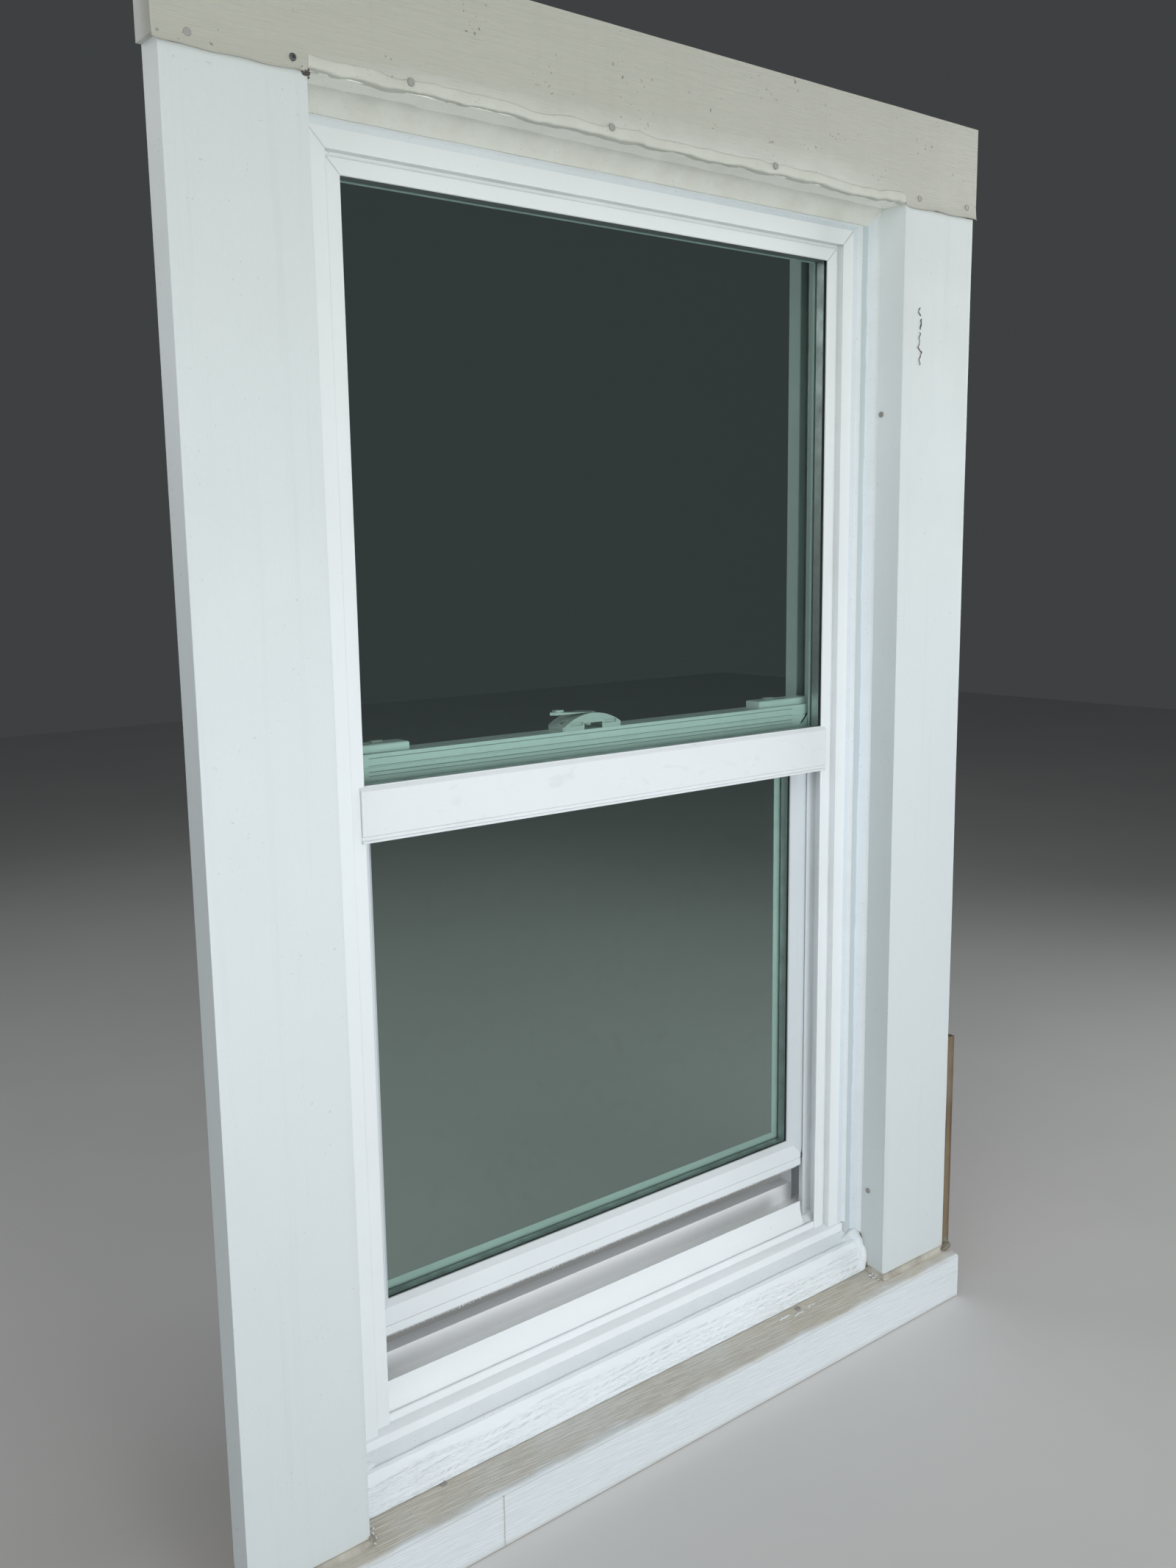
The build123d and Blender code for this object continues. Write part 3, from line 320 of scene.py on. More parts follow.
def vinyl(name, along, colour=(0.755, 0.8, 0.825), grime=0.25, trough=False, scuffed=0.0):
    """Extruded white vinyl: faint die lines along the bar, dust and painted shade in the corners, a few
    specks, painted shade of the eaves towards the top and, where asked, painted light in the sill's trough.
    """
    material, tree, shader = start(name, 0.34)
    lines = mottle(tree, 900.0, drawn_along(along, 0.02), 2.0)
    clouds = mottle(tree, 9.0, detail=6.0)
    dust = corner_dust_and_shade(tree, clouds, 0.008)
    patches = spread(tree, mottle(tree, 30.0, detail=3.0), 0.55, 0.68)
    specks = product(tree, dots(tree, 420.0, 0.73, 0.78), patches)
    body = tint(tree, spread(tree, clouds, 0.3, 0.75), colour, darker(colour, 0.955))
    body = tint(tree, product(tree, dust, grime), body, (0.42, 0.4, 0.36))
    body = tint(tree, product(tree, specks, 0.35), body, (0.16, 0.15, 0.14))
    # Painted shade of the eaves, darker and warmer towards the top.
    body = painted_eaves_shade(tree, body)
    # Painted light in the trough behind the sill's lip.
    if trough:
        body = painted_trough_light(tree, body)
    if scuffed:
        scuffs = spread(tree, mottle(tree, 48.0, (0.4, 1.0, 1.0), 6.0, 0.7, 1.5), 0.58, 0.68)
        body = tint(tree, product(tree, scuffs, scuffed), body, (0.46, 0.47, 0.48))
    painted(tree, shader, body, spread(tree, clouds, 0.3, 0.7, 0.27, 0.44))
    relief(tree, shader, lines, 0.00006, 0.5)
    return material


def embossed(name, along, colour, pitch, run, depth, faint, flecked):
    """Painted aluminium sheet rolled with a fine wood grain that runs along an axis."""
    material, tree, shader = start(name, 0.48)
    threads = mottle(tree, pitch, drawn_along(along, run), 5.0, 0.65, 0.15)
    waves = mottle(tree, 2.2, detail=2.0)
    clouds = mottle(tree, 7.0, detail=7.0)
    dust = corner_dust_and_shade(tree, clouds, 0.012)
    body = tint(tree, spread(tree, threads, 0.36, 0.64), darker(colour, faint), colour)
    body = tint(tree, spread(tree, clouds, 0.35, 0.75, 0.0, 0.6), body, darker(colour, 0.93))
    patches = spread(tree, mottle(tree, 16.0, detail=2.0), 0.5, 0.58)
    flecks = product(tree, dots(tree, 240.0, 0.71, 0.745), patches)
    body = tint(tree, product(tree, flecks, flecked), body, (0.1, 0.09, 0.075))
    runs = spread(tree, mottle(tree, 60.0, (1.0, 1.0, 0.03), 4.0), 0.56, 0.72, 0.0, 0.35)
    body = tint(tree, runs, body, darker(colour, 0.86))
    body = tint(tree, product(tree, dust, 0.5), body, (0.55, 0.53, 0.48))
    if along == "Z":
        # Upright sheets: painted eaves shade towards the top, painted shade on the stops and painted light
        # up the right return.
        body = painted_return_light(tree, painted_recess_shade(tree, painted_eaves_shade(tree, body)))
    else:
        body = caulk_film(tree, body)
    painted(tree, shader, body, spread(tree, clouds, 0.3, 0.7, 0.4, 0.58))
    height = sums(tree, "ADD", product(tree, threads, 0.7), product(tree, waves, 0.3))
    relief(tree, shader, height, depth, 0.8)
    return material


def sill_sheet(name, colour, dirt):
    """The sill's painted sheet: grain pressed along it, and settled dirt on its level part that
    ends in a ragged line at the nose."""
    material, tree, shader = start(name, 0.5)
    threads = mottle(tree, 420.0, (0.07, 1.0, 1.0), 5.0, 0.65, 0.3)
    clouds = mottle(tree, 7.0, detail=7.0)
    smears = mottle(tree, 26.0, (0.35, 1.0, 1.0), 6.0)
    level = spread(tree, facing(tree, Z), 0.45, 0.62)
    ragged = product(tree, spread(tree, smears, 0.3, 0.7), 0.016)
    inside = spread(tree, sums_open(tree, "SUBTRACT", measured(tree, Y), ragged), -0.03, -0.02)
    settled = product(tree, product(tree, level, inside), spread(tree, clouds, 0.3, 0.62, 0.55, 1.0))
    body = tint(tree, spread(tree, threads, 0.36, 0.64), darker(colour, 0.92), colour)
    body = tint(tree, spread(tree, clouds, 0.35, 0.75, 0.0, 0.4), body, darker(colour, 0.93))
    streaky = tint(tree, spread(tree, threads, 0.38, 0.62), darker(dirt, 0.8), dirt)
    body = tint(tree, product(tree, settled, 0.9), body, streaky)
    grains = product(tree, dots(tree, 500.0, 0.69, 0.75), spread(tree, settled, 0.0, 1.0, 0.12, 0.5))
    body = tint(tree, grains, body, (0.1, 0.09, 0.07))
    # Dust and painted shade in the corners, by ambient occlusion.
    dust = product(tree, crevices(tree, 0.01, 0.35), 0.5)
    body = tint(tree, dust, body, (0.36, 0.33, 0.27))
    painted(tree, shader, body, spread(tree, settled, 0.0, 1.0, 0.46, 0.85))
    relief(tree, shader, threads, 0.0005, 0.7)
    return material


def window_glass(name):
    """Clear float glass with a faint green tint, a clean gloss and a breath of dust."""
    glass_index = 1.52
    material, tree, shader = start(name, 0.015)
    shader.inputs["Base Color"].default_value = (0.02, 0.03, 0.028, 1.0)
    shader.inputs["IOR"].default_value = glass_index
    clear = tree.nodes.new("ShaderNodeBsdfTransparent")
    clear.inputs["Color"].default_value = (0.915, 0.96, 0.945, 1.0)
    gloss = tree.nodes.new("ShaderNodeFresnel")
    gloss.inputs["IOR"].default_value = glass_index
    side = tree.nodes.new("ShaderNodeNewGeometry")
    front = sums(tree, "SUBTRACT", 1.0, side.outputs["Backfacing"])
    sheen = product(tree, product(tree, gloss.outputs["Fac"], front), 1.7)
    dust = spread(tree, mottle(tree, 60.0, detail=8.0), 0.55, 0.9, 0.0, 0.03)
    blend = tree.nodes.new("ShaderNodeMixShader")
    tree.links.new(sums(tree, "ADD", sheen, dust), blend.inputs["Fac"])
    tree.links.new(clear.outputs["BSDF"], blend.inputs[1])
    tree.links.new(shader.outputs["BSDF"], blend.inputs[2])
    tree.links.new(blend.outputs["Shader"], tree.nodes["Material Output"].inputs["Surface"])
    return material


def metal(name, colour, roughness):
    """Bare metal with fine drawing lines and dull patches."""
    material, tree, shader = start(name, roughness, 1.0)
    lines = mottle(tree, 1500.0, drawn_along("Z", 0.03), 2.0)
    clouds = mottle(tree, 40.0, detail=5.0)
    body = tint(tree, spread(tree, clouds, 0.35, 0.7), colour, darker(colour, 0.72))
    painted(tree, shader, body, spread(tree, clouds, 0.3, 0.7, roughness - 0.08, roughness + 0.16))
    relief(tree, shader, lines, 0.00005, 0.5)
    return material


def moulded(name, colour, roughness, grain=1400.0):
    """Moulded plastic or rubber with a fine matt grain."""
    material, tree, shader = start(name, roughness)
    fine = mottle(tree, grain, detail=2.0)
    clouds = mottle(tree, 25.0, detail=5.0)
    # Dust and painted shade in the corners, by ambient occlusion.
    dust = product(tree, crevices(tree, 0.006), 0.35)
    body = tint(tree, spread(tree, clouds, 0.3, 0.7), colour, darker(colour, 0.88))
    body = tint(tree, dust, body, (0.3, 0.28, 0.25))
    painted(tree, shader, body, spread(tree, clouds, 0.3, 0.7, roughness - 0.07, roughness + 0.1))
    relief(tree, shader, fine, 0.00005, 0.4)
    return material


def caulk(name, colour, dirt, amount, in_recess=False):
    """Tooled sealant: soft lumps, dust stuck to it and dark pinholes."""
    material, tree, shader = start(name, 0.55)
    lumps = mottle(tree, 90.0, detail=3.0)
    clouds = mottle(tree, 28.0, detail=6.0)
    holes = dots(tree, 700.0, 0.72, 0.78)
    body = tint(tree, spread(tree, clouds, 0.42, 0.72, 0.0, amount), colour, dirt)
    body = tint(tree, product(tree, holes, 0.7), body, (0.08, 0.07, 0.06))
    # Painted shade of the eaves, darker and warmer towards the top.
    body = painted_eaves_shade(tree, body)
    # Painted shade on caulk that lies back with the stops.
    if in_recess:
        body = painted_recess_shade(tree, body)
    painted(tree, shader, body)
    relief(tree, shader, lumps, 0.0006, 0.6)
    return material


def timber(name, along, light, dark, grime=0.4):
    """Softwood with growth rings along the board, checks and grey weathering."""
    material, tree, shader = start(name, 0.72)
    stretch = drawn_along(along, 0.05)
    rings = mottle(tree, 90.0, stretch, 3.0, 0.55, 0.6)
    fibre = mottle(tree, 1100.0, stretch, 4.0)
    clouds = mottle(tree, 12.0, detail=6.0)
    body = tint(tree, spread(tree, rings, 0.35, 0.65), dark, light)
    body = tint(tree, spread(tree, fibre, 0.35, 0.75, 0.0, 0.45), body, darker(dark, 0.6))
    body = tint(tree, spread(tree, clouds, 0.45, 0.8, 0.0, grime), body, (0.22, 0.2, 0.17))
    painted(tree, shader, body, spread(tree, fibre, 0.3, 0.7, 0.62, 0.85))
    height = sums(tree, "ADD", product(tree, rings, 0.5), product(tree, fibre, 0.5))
    relief(tree, shader, height, 0.0005, 0.6)
    return material


def floor_paint(name):
    """Pale matt paint with wide soft patches."""
    material, tree, shader = start(name, 0.8)
    patches = spread(tree, mottle(tree, 1.5), 0.3, 0.7)
    painted(tree, shader, tint(tree, patches, (0.7, 0.7, 0.69), (0.66, 0.66, 0.655)))
    return material


def brush_pile(name, dark, light):
    """Woven pile weatherstrip with standing fibres."""
    material, tree, shader = start(name, 0.95)
    fibres = mottle(tree, 1600.0, (1.0, 1.0, 0.15), 3.0)
    clouds = mottle(tree, 60.0, detail=4.0)
    body = tint(tree, spread(tree, fibres, 0.35, 0.65), dark, light)
    body = tint(tree, spread(tree, clouds, 0.4, 0.8, 0.0, 0.5), body, darker(dark, 0.7))
    painted(tree, shader, body)
    shader.inputs["Sheen Weight"].default_value = 0.4
    relief(tree, shader, fibres, 0.0004, 0.8)
    return material


# A lighter copy of the white vinyl, painted light for the sash's parts seen through the glass.
room_side_lit_white = (0.9, 0.94, 0.95)
old_wood = ((0.47, 0.33, 0.2), (0.3, 0.19, 0.11))
VINYL_UPRIGHT = vinyl("white_vinyl_upright", "Z")
VINYL_LEVEL = vinyl("white_vinyl_level", "X")
GLASS = window_glass("float_glass")
SPACER = metal("spacer_aluminium", (0.6, 0.62, 0.63), 0.4)
BLOCK_RUBBER = moulded("black_setting_rubber", (0.035, 0.035, 0.037), 0.62)
PILE = brush_pile("grey_pile", (0.3, 0.3, 0.3), (0.62, 0.62, 0.62))
WHITE_PILE = brush_pile("white_pile", (0.62, 0.63, 0.64), (0.82, 0.83, 0.84))
NYLON = moulded("cream_nylon", (0.72, 0.72, 0.7), 0.42)
TUBE = metal("drawn_aluminium_tube", (0.66, 0.68, 0.7), 0.3)
ZINC = metal("zinc_plated_steel", (0.52, 0.53, 0.54), 0.34)
DULL_STEEL = metal("weathered_steel", (0.16, 0.165, 0.17), 0.5)
ENAMEL = moulded("white_lock_enamel", (0.78, 0.8, 0.8), 0.3, 900.0)
SHEET_SIDE = embossed("side_cladding_sheet", "Z", (0.6, 0.655, 0.67), 900.0, 0.25, 0.00012, 0.975, 0.2)
# The head sheet is darker than its own beige-grey, with the soffit's shade painted in.
SHEET_HEAD = embossed("head_cladding_sheet", "X", (0.415, 0.42, 0.365), 520.0, 0.06, 0.0009, 0.93, 0.7)
SHEET_SILL = sill_sheet("sill_cladding_sheet", (0.68, 0.735, 0.77), (0.55, 0.51, 0.43))
CAULK = caulk("white_caulk", (0.72, 0.77, 0.8), (0.6, 0.62, 0.62), 0.25, True)
# A lighter copy of the caulk, painted light for the head's underside, which little light reaches.
UNDERSIDE_CAULK = caulk("underside_caulk", (0.92, 0.94, 0.9), (0.74, 0.75, 0.7), 0.4)
HEAD_CAULK = caulk("head_caulk", (0.62, 0.64, 0.61), (0.5, 0.5, 0.45), 0.5)
EDGE_CAULK = caulk("edge_caulk", (0.55, 0.57, 0.535), (0.46, 0.465, 0.41), 0.6)
OLD_CAULK = caulk("old_beige_caulk", (0.46, 0.44, 0.385), (0.2, 0.18, 0.15), 0.9)
OLIVE_DIRT = caulk("olive_dirt", (0.2, 0.185, 0.14), (0.06, 0.055, 0.04), 0.9)
MITRE_DIRT = moulded("mitre_dirt", (0.56, 0.575, 0.57), 0.8, 600.0)
# Painted shade for the grooves along the sash's top rail.
RAIL_GROOVE_SHADE = moulded("rail_groove_painted_shade", (0.42, 0.44, 0.44), 0.7, 600.0)
GRIT = moulded("black_grit", (0.05, 0.045, 0.04), 0.8, 600.0)
RISER_PAINT = vinyl("riser_enamel", "X", (0.77, 0.825, 0.865), 0.4)
# Darker copies of the sash's vinyl, painted shade for its stiles and bottom rail, which lie back in the
# frame.
SHADED_SASH_UPRIGHT = vinyl("shaded_sash_vinyl_upright", "Z", (0.6, 0.655, 0.69))
SHADED_SASH_LEVEL = vinyl("shaded_sash_vinyl_level", "X", (0.72, 0.77, 0.8))
ROOM_VINYL_UPRIGHT = vinyl("room_side_vinyl_upright", "Z", room_side_lit_white)
ROOM_VINYL_LEVEL = vinyl("room_side_vinyl_level", "X", room_side_lit_white)
RAIL_VINYL = vinyl("meeting_rail_vinyl", "X", (0.705, 0.745, 0.77), scuffed=0.2)
# A lighter copy of the vinyl for the sill, painted light for its shaded trough.
SILL_VINYL = vinyl("sill_vinyl", "X", (0.79, 0.835, 0.865), trough=True)
OLD_WOOD_UPRIGHT = timber("old_softwood_upright", "Z", *old_wood)
OLD_WOOD_LEVEL = timber("old_softwood_level", "X", *old_wood)
BARE_WOOD = timber("bare_weathered_strip", "Z", (0.2, 0.145, 0.08), (0.09, 0.06, 0.035), 0.6)
NAIL_PAINT = moulded("worn_nail_paint", (0.3, 0.3, 0.28), 0.45, 500.0)
SHIM = moulded("blue_shim_plastic", (0.1, 0.18, 0.34), 0.5)
FLOOR_PAINT = floor_paint("pale_floor")

plain_finishes = {
    "glass": GLASS, "spacer": SPACER, "block_rubber": BLOCK_RUBBER, "pile": PILE, "nylon": NYLON,
    "tube_metal": TUBE, "steel": ZINC, "lock_paint": ENAMEL, "cladding_side": SHEET_SIDE,
    "cladding_top": SHEET_HEAD, "cladding_base": SHEET_SILL, "sealant": CAULK,
    "old_sealant": OLD_CAULK, "bare_wood": BARE_WOOD, "shim_plastic": SHIM,
}


def lies_level(name):
    """True for a bar or board that runs across the window."""
    return any(word in name for word in ("head", "sill", "rail", "top", "bottom", "filler"))


def vinyl_of(name):
    """The vinyl of a bar: darker copies on the outside of the sash as painted shade, scuffed on the meeting
    rail, lighter copies behind the glass and in the sill's trough as painted light.
    """
    if name == "frame_sill":
        return SILL_VINYL
    if name == "meeting_rail":
        return RAIL_VINYL
    if name == "sash_top_rail" or name.startswith(("sash_bead", "tilt_latch")):
        return ROOM_VINYL_LEVEL if lies_level(name) else ROOM_VINYL_UPRIGHT
    if name.startswith("sash_stile"):
        return SHADED_SASH_UPRIGHT
    if name == "sash_bottom_rail":
        return SHADED_SASH_LEVEL
    return VINYL_LEVEL if lies_level(name) else VINYL_UPRIGHT


def finish_of(name):
    """The finish of a node, by its slot and by how it lies."""
    slot = slot_of[name]
    if slot == "vinyl":
        return vinyl_of(name)
    if slot == "old_wood":
        return OLD_WOOD_LEVEL if lies_level(name) else OLD_WOOD_UPRIGHT
    return plain_finishes[slot]


def coat(piece, material):
    """Give a piece one finish all over."""
    piece.data.materials.clear()
    piece.data.materials.append(material)


for name, node in nodes.items():
    coat(node, finish_of(name))


# Ways of working

def deselected():
    """Leave nothing selected before a primitive is added."""
    bpy.ops.object.select_all(action="DESELECT")


def only(piece):
    """Select one piece and make it the active one."""
    deselected()
    piece.select_set(True)
    bpy.context.view_layer.objects.active = piece


def editing(piece, kind="VERT"):
    """Open a piece for edits with nothing selected."""
    only(piece)
    bpy.ops.object.mode_set(mode="EDIT")
    bpy.ops.mesh.select_mode(type=kind)
    bpy.ops.mesh.select_all(action="DESELECT")


def done():
    """Close the piece that is being edited."""
    bpy.ops.object.mode_set(mode="OBJECT")


def pick(piece, kind, wanted):
    """Select the corners, edges or faces whose places pass a test."""
    bpy.ops.mesh.select_all(action="DESELECT")
    mesh = bmesh.from_edit_mesh(piece.data)
    for part in getattr(mesh, kind):
        if kind == "verts":
            given = (part.co,)
        elif kind == "edges":
            given = (part.verts[0].co, part.verts[1].co)
        else:
            given = (part.calc_center_median(), part.normal)
        if wanted(*given):
            part.select_set(True)
    bmesh.update_edit_mesh(piece.data)


def cube(name, low, high):
    """A block between two corners, ready to be shaped."""
    deselected()
    middle = [(a + b) / 2 for a, b in zip(low, high)]
    bpy.ops.mesh.primitive_cube_add(size=1.0, location=middle)
    piece = bpy.context.active_object
    piece.name = name
    piece.scale = [b - a for a, b in zip(low, high)]
    bpy.ops.object.transform_apply(location=True, rotation=True, scale=True)
    return piece


def rod(name, radius, depth, place, facing_axis="Z", corners=24):
    """A round bar about a point, ready to be shaped."""
    deselected()
    turns = {"X": (0.0, math.pi / 2, 0.0), "Y": (math.pi / 2, 0.0, 0.0), "Z": (0, 0, 0)}
    bpy.ops.mesh.primitive_cylinder_add(vertices=corners, radius=radius, depth=depth, location=place,
                                        rotation=turns[facing_axis])
    piece = bpy.context.active_object
    piece.name = name
    bpy.ops.object.transform_apply(location=True, rotation=True, scale=True)
    return piece


def rounded(piece, offset, segments, wanted, profile=0.5):
    """Round off the edges of a piece that pass a test."""
    editing(piece, "EDGE")
    pick(piece, "edges", wanted)
    bpy.ops.mesh.bevel(offset=offset, segments=segments, profile=profile, clamp_overlap=False)
    done()


def sliced(piece, axis, first, last, step):
    """Cut a piece across at even steps, so that it can bend."""
    across = Vector([float(axis == letter) for letter in "XYZ"])
    editing(piece)
    for count in range(int((last - first) / step) + 1):
        bpy.ops.mesh.select_all(action="SELECT")
        bpy.ops.mesh.bisect(plane_co=across * (first + count * step), plane_no=across)
    done()


def applied(piece, kind, **settings):
    """Put a modifier on a piece and make it part of the mesh."""
    only(piece)
    modifier = piece.modifiers.new(kind.lower(), kind)
    for setting, value in settings.items():
        setattr(modifier, setting, value)
    bpy.ops.object.modifier_apply(modifier=modifier.name)


def uneven(piece, size, depth, direction="NORMAL", middle=0.5):
    """Make a surface gently uneven, with lumps of about one size."""
    cloud = bpy.data.textures.new(f"{piece.name}_lumps", "CLOUDS")
    cloud.noise_scale = size
    applied(piece, "DISPLACE", texture=cloud, texture_coords="LOCAL", direction=direction,
            strength=depth, mid_level=middle)


def smooth(piece, angle=35.0, flats=False):
    """Shade a piece smooth up to an angle, with its flats kept flat if wanted."""
    only(piece)
    bpy.ops.object.shade_smooth_by_angle(angle=math.radians(angle))
    if flats:
        applied(piece, "WEIGHTED_NORMAL", keep_sharp=True, weight=80)


def joined(pieces, name):
    """Several meshes made one piece."""
    deselected()
    for piece in pieces:
        piece.select_set(True)
    bpy.context.view_layer.objects.active = pieces[0]
    bpy.ops.object.join()
    pieces[0].name = name
    return pieces[0]


def placed_copy(piece, name, move, turn=None):
    """Another of a piece, with its own mesh, moved into place."""
    mesh = piece.data.copy()
    if turn:
        mesh.transform(turn)
    mesh.transform(Matrix.Translation(move))
    return added(name, mesh)


def fixed(piece, body, slot, material, *stands_for):
    """Coat a finished piece and fix it to the body it moves with."""
    coat(piece, material)
    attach(piece, body)
    if stands_for:
        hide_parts(*stands_for)
    return piece


# Bars and boards with eased edges

def merged(name, ending):
    """A copy of a solid in its place, with its loose triangles merged."""
    piece = added(f"{name}_{ending}", nodes[name].data.copy())
    editing(piece)
    bpy.ops.mesh.select_all(action="SELECT")
    bpy.ops.mesh.remove_doubles(threshold=0.000005)
    bpy.ops.mesh.dissolve_limited(angle_limit=math.radians(1.0))
    done()
    if piece.data.has_custom_normals:
        bpy.ops.mesh.customdata_custom_splitnormals_clear()
    return piece


def eased(name, radius):
    """A merged copy of a solid with its edges rounded, which stands for it."""
    piece = merged(name, "eased")
    least_turn = 32.0
    smooth(piece, least_turn)
    applied(piece, "BEVEL", width=radius, segments=2, limit_method="ANGLE",
            angle_limit=math.radians(least_turn), harden_normals=True)
    return fixed(piece, body_of[name], slot_of[name], finish_of(name), name)


def both(*stems):
    """The names of the left and the right piece of each kind."""
    return [f"{stem}_{hand}" for stem in stems for side, hand in hands]


easings = {
    0.0005: [*both("frame_jamb"), "frame_head", "frame_sill", "meeting_rail", *both("sash_stile"),
             "sash_bottom_rail", "sash_top_rail"],
    0.0003: [*both("glazing_bead"), "glazing_bead_head", *both("sash_bead"), "sash_bead_top",
             "sash_bead_bottom", *both("tilt_latch", "latch_bolt"), "keeper", *both("balance_shoe")],
    0.0008: ["lock_housing", "lock_lever"],
    0.0015: [*both("jamb_board"), "head_board", *both("casing_board"), "casing_board_head",
             *both("blind_stop"), "blind_stop_head", "sill_filler_block", "bare_strip"],
}
for radius, names in easings.items():
    for name in names:
        eased(name, radius)

# The lever's arm lies close on the crown of the lock, with its thumb tab standing free at the end
lever = bpy.data.objects["lock_lever_eased"]
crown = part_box("lock_housing")[1].z
tab_start = -0.052
editing(lever)
pick(lever, "verts", lambda co: co.z > crown - 0.0002 and co.x > tab_start)
bpy.ops.transform.resize(value=(1.0, 1.0, 0.18), center_override=(0.0, 0.0, crown))
done()


# Bent sheet cladding with rounded bends and a slightly uneven face

def near(a, b, reach=0.0008):
    """True where two places across a bar are closer than a reach."""
    return abs(a[0] - b[0]) < reach and abs(a[1] - b[1]) < reach


def bent(name, along, bends, seen_across):
    """A merged copy of a sheet with the bends along an axis rounded."""
    run = "XYZ".index(along)
    sheet = merged(name, "bent")
    rounded(sheet, 0.0009, 2, lambda a, b: abs(a[run] - b[run]) > 0.3 and any(
        near(seen_across(a), bend) and near(seen_across(b), bend) for bend in bends))
    return sheet


casing_bends = [(stop_edge, stop_face), (casing_inside, stop_face), (casing_inside, 0.0),
                (casing_outside, 0.0)]
for side, hand in hands:
    cladding = bent(f"cladding_{hand}", "Z", casing_bends, lambda co: (side * co.x, co.y))
    sliced(cladding, "Z", 0.08, casing_top, 0.03)
    sliced(cladding, "X", *sorted((side * casing_inside, side * casing_outside)), 0.02)
    uneven(cladding, 0.16, -0.0012, "Y", 0.0)
    smooth(cladding, 40.0, flats=True)
    fixed(cladding, "frame", slot_of[f"cladding_{hand}"], SHEET_SIDE, f"cladding_{hand}")

head_bends = [(-0.0005, head_edge), (stop_face, head_edge), (stop_face, head_edge - 0.0175)]
head_sheet = bent("cladding_head", "X", head_bends, lambda co: (co.y, co.z))
sliced(head_sheet, "X", -0.497, 0.5, 0.014)
sliced(head_sheet, "Z", 1.3635, 1.46, 0.012)
uneven(head_sheet, 0.14, -0.0014, "Y", 0.0)

# The head sheet's flaps over the casings, whose low edge is lifted a little and runs unevenly
flap_lift = bpy.data.textures.new("flap_lift", "CLOUDS")
flap_lift.noise_scale = 0.045
flap = head_sheet.vertex_groups.new(name="flap")
for corner in head_sheet.data.vertices:
    x, y, z = corner.co
    if abs(x) > casing_inside + 0.006 and y < 0.002 and z < 1.3665:
        flap.add([corner.index], 1.0 if z < 1.363 else 0.4, "REPLACE")
for direction, strength, middle in (("Y", -0.0046, 0.0), ("Z", 0.007, 0.5)):
    applied(head_sheet, "DISPLACE", texture=flap_lift, texture_coords="LOCAL", direction=direction,
            strength=strength, mid_level=middle, vertex_group="flap")
smooth(head_sheet, 40.0, flats=True)
fixed(head_sheet, "frame", slot_of["cladding_head"], SHEET_HEAD, "cladding_head")


# Caulk

def sealed(piece, material=CAULK, slot="sealant"):
    """Smooth a piece of caulk and fix it to the frame."""
    smooth(piece, 60.0)
    return fixed(piece, "frame", slot, material)


def caulk_bead(name, low, high, free_edge, leg, along, material=CAULK, slot="sealant", lumps=0.0009):
    """A hollow fillet of caulk along a corner: a block with its free edge cut back in a curve."""
    run = "XYZ".index(along)
    bead = cube(name, low, high)
    rounded(bead, leg * 0.97, 7, lambda a, b: abs(a[run] - b[run]) > 0.001 and all(
        abs(end[axis] - value) < 0.0001 for end in (a, b) for axis, value in free_edge), 0.12)
    sliced(bead, along, low[run] + 0.006, high[run] - 0.006, 0.009)
    uneven(bead, 0.02, lumps)
    return sealed(bead, material, slot)


cove = 0.011
sunk = 0.0004
for side, hand in hands:
    inner, outer = sorted((side * (casing_inside - cove), side * (casing_inside + sunk)))
    caulk_bead(f"corner_caulk_{hand}", (inner, stop_face - cove, 0.112), (outer, stop_face + sunk, 1.3645),
               ((X, side * (casing_inside - cove)), (Y, stop_face - cove)), cove, "Z")

head_caulk_reach = 0.3745
head_cove_front, head_cove_foot = stop_face - 0.019, 1.3464
caulk_bead("corner_caulk_head", (-head_caulk_reach, head_cove_front, head_cove_foot),
           (head_caulk_reach, stop_face + sunk, 1.3654),
           ((Y, head_cove_front), (Z, head_cove_foot)), 0.0187, "X", HEAD_CAULK, lumps=0.0016)

edge_caulk = cube("head_edge_caulk", (-head_caulk_reach, -0.0023, 1.363), (0.372, 0.005, 1.3735))
rounded(edge_caulk, 0.0022, 4, lambda a, b: abs(a.x - b.x) > 0.1 and a.y < 0.0 and b.y < 0.0)
sliced(edge_caulk, "X", -0.37, 0.368, 0.005)
uneven(edge_caulk, 0.035, 0.008, "Z")
uneven(edge_caulk, 0.01, 0.0008)
sealed(edge_caulk, EDGE_CAULK)

# Caulk on the head's underside, coloured lighter as painted light.
smear = cube("head_underside_caulk", (-head_caulk_reach, 0.0032, 1.3643),
             (head_caulk_reach, stop_face, 1.3653))
sliced(smear, "X", -0.37, 0.37, 0.009)
sliced(smear, "Y", 0.008, 0.044, 0.006)
uneven(smear, 0.03, -0.0009, "Z", 0.0)
sealed(smear, UNDERSIDE_CAULK)


# Sheets with wood grain pressed into them

